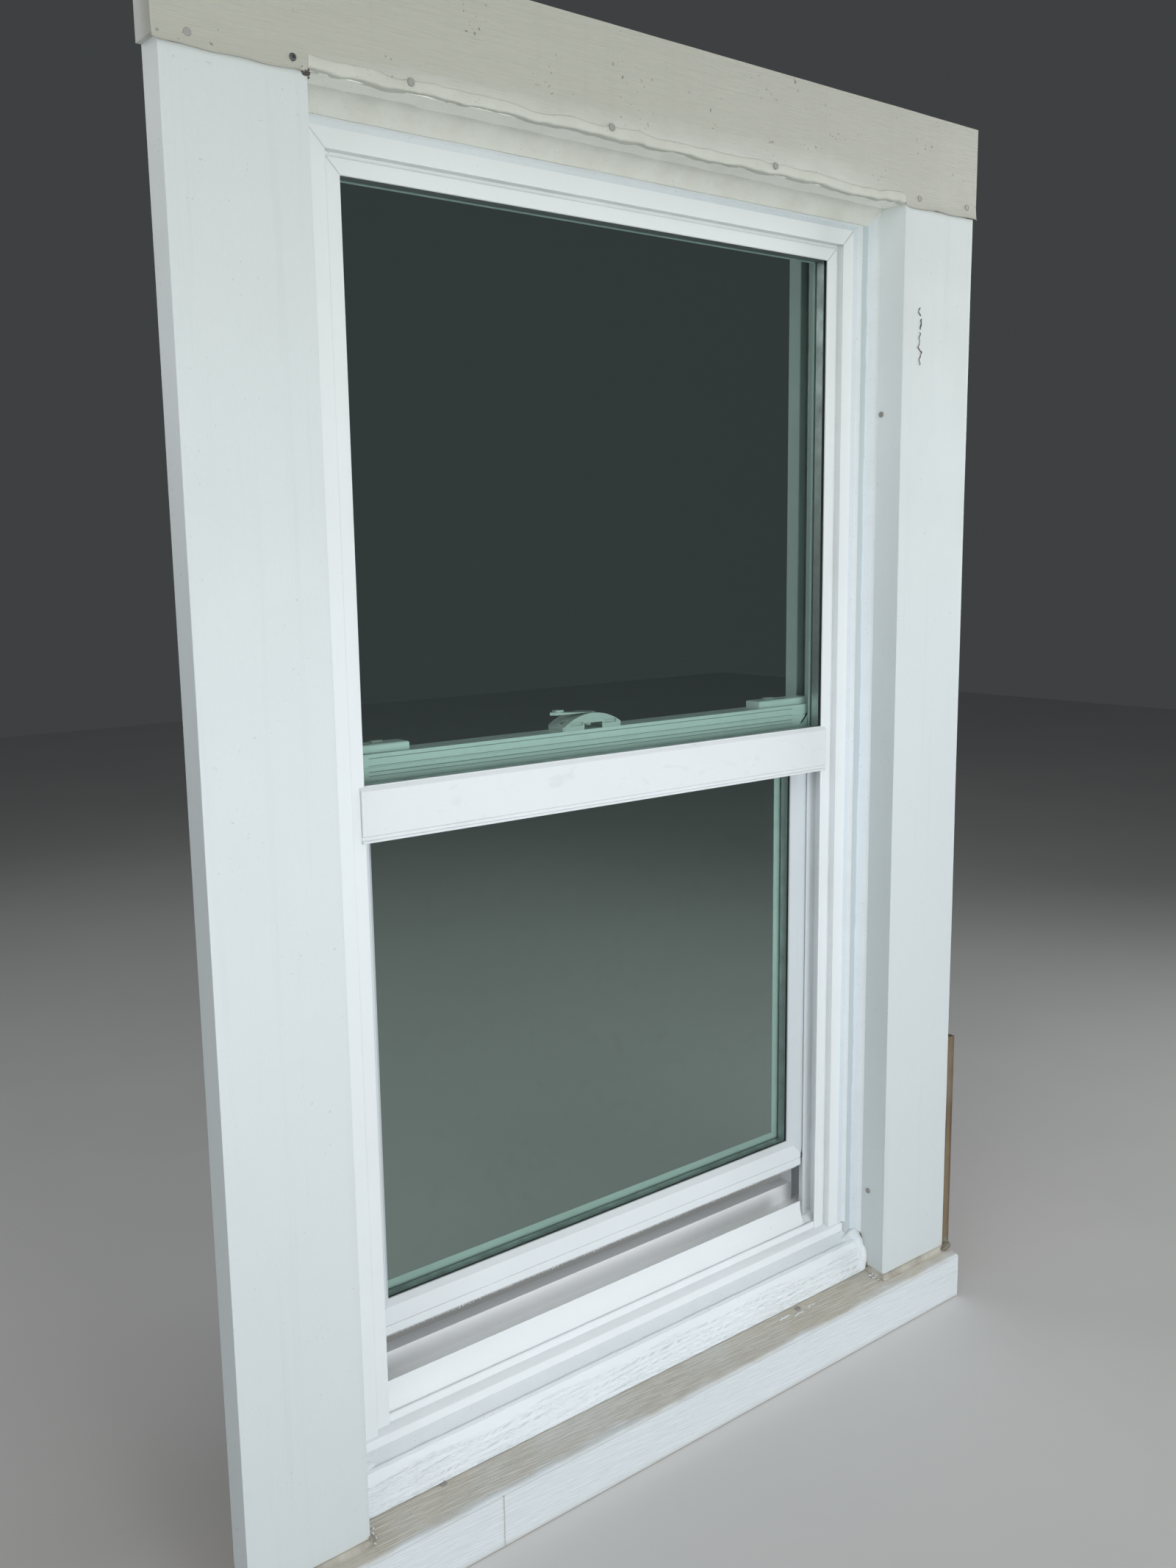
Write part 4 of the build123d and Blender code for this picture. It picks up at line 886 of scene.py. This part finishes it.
def pressed_sheet(name, length, width, columns, rows, height, shrink, calm=None):
    """A sheet lying flat with coarse wood grain pressed along it, calm where the test says so.

    Its length is drawn together while the grain is pressed, so that the ridges run long and slant.
    """
    pitch = 0.0026
    band_spacing = 0.628
    grown = band_spacing / pitch
    deselected()
    bpy.ops.mesh.primitive_grid_add(x_subdivisions=columns, y_subdivisions=rows, size=1.0)
    sheet = bpy.context.active_object
    sheet.name = name
    sheet.scale = (length / shrink * grown, width * grown, 1.0)
    bpy.ops.object.transform_apply(location=True, rotation=True, scale=True)
    ridges = bpy.data.textures.new(f"{name}_ridges", "WOOD")
    ridges.wood_type = "BANDNOISE"
    ridges.noise_scale = 0.9
    ridges.turbulence = 9.0
    swell = bpy.data.textures.new(f"{name}_swell", "CLOUDS")
    swell.noise_scale = 2.2
    for pattern, share, middle in ((ridges, 1.0, 0.4), (swell, 0.8, 0.5)):
        applied(sheet, "DISPLACE", texture=pattern, texture_coords="LOCAL", direction="Z",
                strength=height * grown * share, mid_level=middle)
    sheet.data.transform(Matrix.Scale(1.0 / grown, 4))
    editing(sheet)
    if calm:
        pick(sheet, "verts", lambda co: calm(co.x * shrink, co.y))
        bpy.ops.mesh.vertices_smooth(factor=0.6, repeat=14)
    pick(sheet, "verts",
         lambda co: abs(co.y) > width / 2 - 0.0002 or abs(co.x) * shrink > length / 2 - 0.001)
    bpy.ops.transform.resize(value=(1.0, 1.0, 0.0), center_override=(0.0, 0.0, -height * 0.3))
    done()
    return sheet


def stood(sheet, shrink, foot, top, lift):
    """Stand a pressed sheet between two places across the window, a little off its ground."""
    width = math.hypot(top[0] - foot[0], top[1] - foot[1])
    climb = Vector((0.0, (top[0] - foot[0]) / width, (top[1] - foot[1]) / width))
    out = Vector((0.0, -climb.z, climb.y))
    stand = Matrix((Vector((shrink, 0, 0)), climb, out)).transposed().to_4x4()
    stand.translation = Vector((0.0, *foot)) + climb * width / 2 + out * lift
    sheet.data.transform(stand)
    smooth(sheet, 60.0)
    return sheet


# The riser between the sill and the vinyl, with coarse grain that is calm along its top and ends
riser_foot, riser_top = (0.024, 0.0656), (0.036, 0.1045)
rise = math.hypot(riser_top[0] - riser_foot[0], riser_top[1] - riser_foot[1])
riser = pressed_sheet("riser_embossing", 0.749, rise, 380, 66, 0.0012, 14.0,
                      lambda x, y: y > rise / 2 - 0.011 + 0.0025 * math.sin(x * 38.0) or abs(x) > 0.364)
fixed(stood(riser, 14.0, riser_foot, riser_top, 0.0007), "frame", "cladding_base", RISER_PAINT)

# The sill's nose and its level part, with finer grain
fine_height, fine_shrink, fine_lift = 0.0004, 22.0, 0.0003
nose_foot, nose_top = (-0.0215, 0.0015), (-0.0215, 0.0555)
ledge_front, ledge_back = (-0.015, 0.05857), (0.0228, 0.06523)
nose = pressed_sheet("nose_embossing", 1.0105, 0.054, 260, 88, fine_height, fine_shrink)
fixed(stood(nose, fine_shrink, nose_foot, nose_top, fine_lift), "frame", "cladding_base", SHEET_SILL)
ledge = pressed_sheet("ledge_embossing", 0.748, 0.038, 220, 60, fine_height, fine_shrink)
fixed(stood(ledge, fine_shrink, ledge_front, ledge_back, fine_lift), "frame", "cladding_base", SHEET_SILL)

# Caulk along the top of the riser
top_bead = rod("riser_top_caulk", 0.0024, 0.728, (0.0, 0.0368, 0.1046), "X", 12)
sliced(top_bead, "X", -0.358, 0.358, 0.006)
uneven(top_bead, 0.022, 0.0012)
sealed(top_bead)


# Lumps of caulk and of dirt

def blob(name, place, reach, corners=28):
    """A rounded lump about a place, with its reach along each axis."""
    deselected()
    bpy.ops.mesh.primitive_uv_sphere_add(segments=corners, ring_count=corners // 2, location=place)
    lump = bpy.context.active_object
    lump.name = name
    lump.scale = reach
    bpy.ops.object.transform_apply(location=True, rotation=True, scale=True)
    return lump


def melted(pieces, name, grain, lumps, size=0.012):
    """Several lumps run together into one soft skin."""
    lump = joined(pieces, name)
    applied(lump, "REMESH", mode="VOXEL", voxel_size=grain)
    applied(lump, "SMOOTH", factor=0.6, iterations=8)
    uneven(lump, size, lumps)
    return lump


def over_sill(y):
    """The height of the sill's sloping sheet at a place from its front to its back."""
    return sill_top + y * math.tan(sill_rise)


# Rounded corners of caulk where the riser, the nose of the vinyl and the returns meet
for side, hand in hands:
    lumps = [blob("crown", (side * 0.3665, 0.0425, 0.1035), (0.0125, 0.009, 0.0125)),
             blob("shoulder", (side * 0.3695, 0.0365, 0.093), (0.0095, 0.0075, 0.016)),
             blob("flank", (side * 0.372, 0.0305, 0.08), (0.007, 0.0065, 0.018)),
             blob("bridge", (side * 0.356, 0.043, 0.103), (0.016, 0.0075, 0.0085))]
    sealed(melted(lumps, f"riser_corner_caulk_{hand}", 0.0011, 0.0007))

# Chipped caulk at the feet of the casings and of their returns, on the slope of the sill
on_slope = Matrix.Translation((0.0, 0.0, sill_top - 0.0003)) @ Matrix.Rotation(sill_rise, 4, "X")
for side, hand in hands:
    front, crest = -0.006, 0.0055
    x0, x1 = sorted((side * 0.3735, side * 0.4995))
    foot = caulk_bead(f"foot_caulk_{hand}", (x0, front, 0.0), (x1, 0.006, crest), ((Y, front), (Z, crest)),
                      0.005, "X", OLD_CAULK, "old_sealant", 0.003)
    foot.data.transform(on_slope)
    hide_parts(f"foot_sealant_{hand}")
    open_side, crest = side * 0.3695, 0.0075
    x0, x1 = sorted((open_side, side * 0.3765))
    turned = caulk_bead(f"return_foot_caulk_{hand}", (x0, -0.002, 0.0), (x1, 0.0235, crest),
                        ((X, open_side), (Z, crest)), 0.006, "Y", OLD_CAULK, "old_sealant", 0.0034)
    turned.data.transform(on_slope)


# Crumbs: flakes of white paint, grit in the trough, and a black lump of painted shade in the torn hole
# above the left casing
golden_share, golden_angle = 0.618, 2.399


def crumb(size):
    """A rough little crumb with few faces."""
    deselected()
    bpy.ops.mesh.primitive_ico_sphere_add(subdivisions=1, radius=size)
    piece = bpy.context.active_object
    uneven(piece, size * 0.9, size * 0.9)
    return piece


def scattered(name, shape, places, slot, material, flat=1.0):
    """Copies of a crumb at many places on the frame, turned and sized by their order."""
    slanted = Vector((0.4, 0.3, 1.0)).normalized()
    pieces = []
    for count, spot in enumerate(places):
        turned = Matrix.Rotation(count * golden_angle, 4, slanted)
        size = 0.55 + 0.9 * ((count * golden_share) % 1.0)
        grown = Matrix.Diagonal((1.0, 1.0, flat, 1.0)) @ Matrix.Scale(size, 4)
        pieces.append(placed_copy(shape, "crumb", spot, grown @ turned))
    return fixed(joined(pieces, name), "frame", slot, material)


def row_of(count, first, last, sway):
    """Places along a line that sway off it by up to a distance each way."""
    strides = (golden_share, 0.7549, 0.5698, 0.8192)
    rows = []
    for step in range(count):
        along, *off = ((step * stride) % 1.0 for stride in strides)
        rows.append([a + (b - a) * along + (part - 0.5) * 2 * reach
                     for a, b, part, reach in zip(first, last, off, sway)])
    return rows


small_crumb = crumb(0.0008)
for side, hand in hands:
    flakes = row_of(30, (side * 0.3745, -0.006, 0.0617), (side * 0.3675, 0.012, 0.065),
                    (0.0035, 0.0045, 0.0012))
    scattered(f"paint_flakes_{hand}", small_crumb, flakes, "sealant", CAULK)
# A black lump stands for the shade inside the torn hole.
torn = blob("torn_hole_shade", (-0.3765, -0.0004, 1.361), (0.0042, 0.0012, 0.0026), 16)
uneven(torn, 0.004, 0.0016)
fixed(torn, "frame", "block_rubber", GRIT)
grit = row_of(16, (-0.383, -0.0012, 1.3655), (-0.371, -0.0012, 1.359), (0.003, 0.0006, 0.003))
scattered("grit_at_hole", small_crumb, grit, "block_rubber", GRIT)
grit = row_of(26, (0.25, 0.074, 0.147), (0.318, 0.082, 0.144), (0.006, 0.004, 0.0005))
scattered("grit_in_trough", small_crumb, grit, "block_rubber", GRIT, 0.6)
bpy.data.objects.remove(small_crumb)

# Old caulk and dirt at the foot of the bare strip
strip_foot = [blob("lump", (0.5045, -0.001, 0.064), (0.0085, 0.0075, 0.0045)),
              blob("lump", (0.499, -0.004, 0.0625), (0.008, 0.0045, 0.003)),
              blob("lump", (0.507, 0.0035, 0.068), (0.005, 0.0045, 0.0075))]
sealed(melted(strip_foot, "strip_foot_dirt", 0.0009, 0.0016, 0.006), OLIVE_DIRT, "old_sealant")


# Thin lines: a lapped seam of the sill's sheet, paint scratches, painted shadow lines under the flaps and
# dirt in the mitres

def thin_line(name, low, high, along, sway, size, across, slot, material):
    """A narrow raised line that wanders sideways on its way."""
    run = "XYZ".index(along)
    pace = 0.0015
    line = cube(name, low, high)
    sliced(line, along, low[run] + pace, high[run] - pace, pace)
    uneven(line, size, sway, across)
    smooth(line, 40.0)
    return fixed(line, "frame", slot, material)


thin_line("sill_seam", (-0.2358, -0.0224, 0.001), (-0.2351, -0.0212, 0.056), "Z", 0.0004, 0.02, "X",
          "cladding_base", MITRE_DIRT)

casing_scratches = ((0.405, 1.19, 1.206, 0.0009), (0.404, 1.204, 1.227, 0.0006),
                    (0.4052, 1.23, 1.242, 0.0005), (0.4046, 1.245, 1.254, 0.0008))
for count, (x, foot, head, wide) in enumerate(casing_scratches, 1):
    thin_line(f"casing_scratch_{count}", (x, -0.0014, foot), (x + wide, -0.0008, head), "Z", 0.013, 0.006,
              "X", "cladding_side", GRIT)

for count, (x, y) in enumerate(((0.2, 0.0135), (0.222, 0.009), (0.244, 0.011)), 1):
    z = over_sill(y)
    thin_line(f"sill_paint_scratch_{count}", (x, y, z + 0.0004), (x + 0.018, y + 0.0012, z + 0.0009), "X",
              0.008, 0.007, "Y", "sealant", CAULK)

mitres = ((0.3385, 0.0529, 1.33, 0.0145), (0.321, 0.0599, 1.3125, 0.0095))
for side, hand in hands:
    x0, x1 = sorted((side * 0.379, side * 0.4975))
    # A dark line of painted shadow under each flap's lifted edge.
    thin_line(f"flap_dirt_{hand}", (x0, -0.001, 1.3622), (x1, 0.0003, 1.3645), "X", 0.003, 0.02, "Z",
              "block_rubber", GRIT)
    for count, (x, y, z, half) in enumerate(mitres, 1):
        seam = thin_line(f"mitre_{hand}_{count}", (-0.00015, -0.0004, -half), (0.00015, 0.0004, half), "Z",
                         0.0006, 0.004, "X", "block_rubber", MITRE_DIRT)
        slant = Matrix.Rotation(side * math.pi / 4, 4, "Y")
        seam.data.transform(Matrix.Translation((side * x, y, z)) @ slant)

# Grooves along the outside face of the sash's top rail, as thin dark strips of painted shade
groove_reach = 0.2925
rail_grooves = ((0.7752, 0.0006), (0.779, 0.0009), (0.785, 0.0006), (0.7921, 0.0008))
for count, (z, tall) in enumerate(rail_grooves, 1):
    groove = cube(f"rail_groove_{count}", (-groove_reach, 0.08775, z), (groove_reach, 0.0884, z + tall))
    rounded(groove, 0.0002, 2, lambda a, b: abs(a.x - b.x) > 0.1 and a.y < 0.088 and b.y < 0.088)
    smooth(groove, 40.0)
    fixed(groove, "sash", "vinyl", RAIL_GROOVE_SHADE)

# A few strands of cobweb across the right end of the trough
strand = rod("strand", 0.00012, 1.0, (0, 0, 0), "Z", 5)
sliced(strand, "Z", -0.4, 0.4, 0.1)
uneven(strand, 0.25, 0.0006, "X")
ties = [((0.3135, 0.066, 0.16), (0.278, 0.082, 0.1432)), ((0.3137, 0.07, 0.168), (0.286, 0.079, 0.143)),
        ((0.3136, 0.062, 0.152), (0.292, 0.083, 0.144)), ((0.3135, 0.074, 0.156), (0.266, 0.075, 0.1432)),
        ((0.308, 0.064, 0.15), (0.296, 0.081, 0.152)), ((0.305, 0.07, 0.158), (0.29, 0.08, 0.147)),
        ((0.3, 0.067, 0.151), (0.3, 0.079, 0.156))]
strands = []
for first, last in ties:
    line = Vector(last) - Vector(first)
    lie = line.to_track_quat("Z", "Y").to_matrix().to_4x4() @ Matrix.Diagonal((1.0, 1.0, line.length, 1.0))
    strands.append(placed_copy(strand, "strand", (Vector(first) + Vector(last)) / 2, lie))
fixed(joined(strands, "cobweb_strands"), "frame", "pile", WHITE_PILE)
bpy.data.objects.remove(strand)

# Weatherstrip tufts under the bottom rail, each leaning its own way
tuft = rod("tuft", 0.0007, 0.0042, (0, 0, 0), "Z", 5)
editing(tuft, "FACE")
pick(tuft, "faces", lambda centre, normal: normal.z < -0.9)
bpy.ops.transform.resize(value=(0.3, 0.3, 1.0))
bpy.ops.transform.translate(value=(0.0, -0.0006, 0.0))
done()
roots = row_of(430, (-0.3105, 0.0895, 0.203), (0.3105, 0.0895, 0.203), (0.0006, 0.001, 0.0006))
tufts = []
for count, root in enumerate(roots):
    lean = ((count * golden_share) % 1.0 - 0.5) * 0.9
    tufts.append(placed_copy(tuft, "tuft", root, Matrix.Rotation(lean, 4, "X")))
fixed(joined(tufts, "bottom_rail_tufts"), "sash", "pile", WHITE_PILE)
bpy.data.objects.remove(tuft)


# Trim nails and screws

def outside(centre, normal):
    """True for a face that looks out of the window."""
    return normal.y < -0.9


def trim_nail():
    """A painted trim nail: a low round head with its edge rolled and its top dished."""
    nail = rod("trim_nail", 0.0034, 0.0013, (0.0, -0.00045, 0.0), "Y", 20)
    editing(nail, "FACE")
    pick(nail, "faces", outside)
    bpy.ops.mesh.bevel(offset=0.0006, segments=3)
    pick(nail, "faces", outside)
    bpy.ops.mesh.inset(thickness=0.0008)
    bpy.ops.transform.translate(value=(0.0, 0.00035, 0.0))
    done()
    smooth(nail, 50.0)
    return nail


def pan_screw():
    """A pan-head screw with a cross recess, its head facing -Y."""
    radius = 0.0031
    screw = rod("pan_screw", radius, 0.002, (0.0, -0.0008, 0.0), "Y", 24)
    editing(screw, "FACE")
    pick(screw, "faces", outside)
    bpy.ops.mesh.bevel(offset=0.0009, segments=4)
    done()
    long, thin = radius * 0.55, radius * 0.12
    for turned in (0.0, math.pi / 2):
        blade = cube("recess", (-long, -0.004, -thin), (long, -0.0009, thin))
        blade.data.transform(Matrix.Rotation(turned + 0.4, 4, "Y"))
        applied(screw, "BOOLEAN", object=blade, operation="DIFFERENCE", solver="EXACT")
        bpy.data.objects.remove(blade)
    smooth(screw, 40.0)
    return screw


def screwed(screw, name, places, turn, body):
    """Copies of a screw at several places, made one piece."""
    copies = [placed_copy(screw, name, place, turn) for place in places]
    fixed(joined(copies, f"{name}s"), body, "steel", ZINC)


nail = trim_nail()
screw = pan_screw()
head_face = -0.0011
caulk_face = -0.003
nail_places = [(-0.475, head_face, 1.371), (-0.2795, caulk_face, 1.371), (-0.06, caulk_face, 1.372),
               (0.16, caulk_face, 1.371), (0.398, head_face, 1.372), (0.486, head_face, 1.374)]
heads = [placed_copy(nail, "head", place) for place in nail_places]
for side, hand in hands:
    turn_in = Matrix.Rotation(-side * math.pi / 2, 4, "Z")
    for y, z in ((0.0287, 1.1356), (0.025, 0.172)):
        heads.append(placed_copy(nail, "head", (side * (casing_inside - 0.0001), y, z), turn_in))
lying_back = Matrix.Rotation(math.radians(-80.0), 4, "X")
for x, y in ((0.236, 0.0165), (-0.278, 0.0215)):
    heads.append(placed_copy(nail, "head", (x, y, over_sill(y) + 0.0006), lying_back))
fixed(joined(heads, "trim_nails"), "frame", "cladding_side", NAIL_PAINT)
fixed(placed_copy(screw, "trim_screw", (-0.388, head_face, 1.37)), "frame", "steel", DULL_STEEL)

lock_middle = -0.017
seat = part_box("lock_housing")[0].z + 0.0042
lock_places = [(lock_middle + shift, 0.099, seat) for shift in (-0.032, 0.032)]
screwed(screw, "lock_screw", lock_places, Matrix.Rotation(-math.pi / 2, 4, "X"), "sash")
low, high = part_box("keeper")
keeper_places = [(lock_middle + shift, low.y + 0.0016, (low.z + high.z) / 2) for shift in (-0.0105, 0.0105)]
screwed(screw, "keeper_screw", keeper_places, Matrix.Rotation(math.pi, 4, "Z"), "frame")
bpy.data.objects.remove(nail)
bpy.data.objects.remove(screw)

# The floor, which is not part of the window
deselected()
bpy.ops.mesh.primitive_plane_add(size=14.0, location=(0.0, 0.0, -0.0006))
floor = bpy.context.active_object
floor.name = "studio_floor"
coat(floor, FLOOR_PAINT)

bpy.context.view_layer.update()
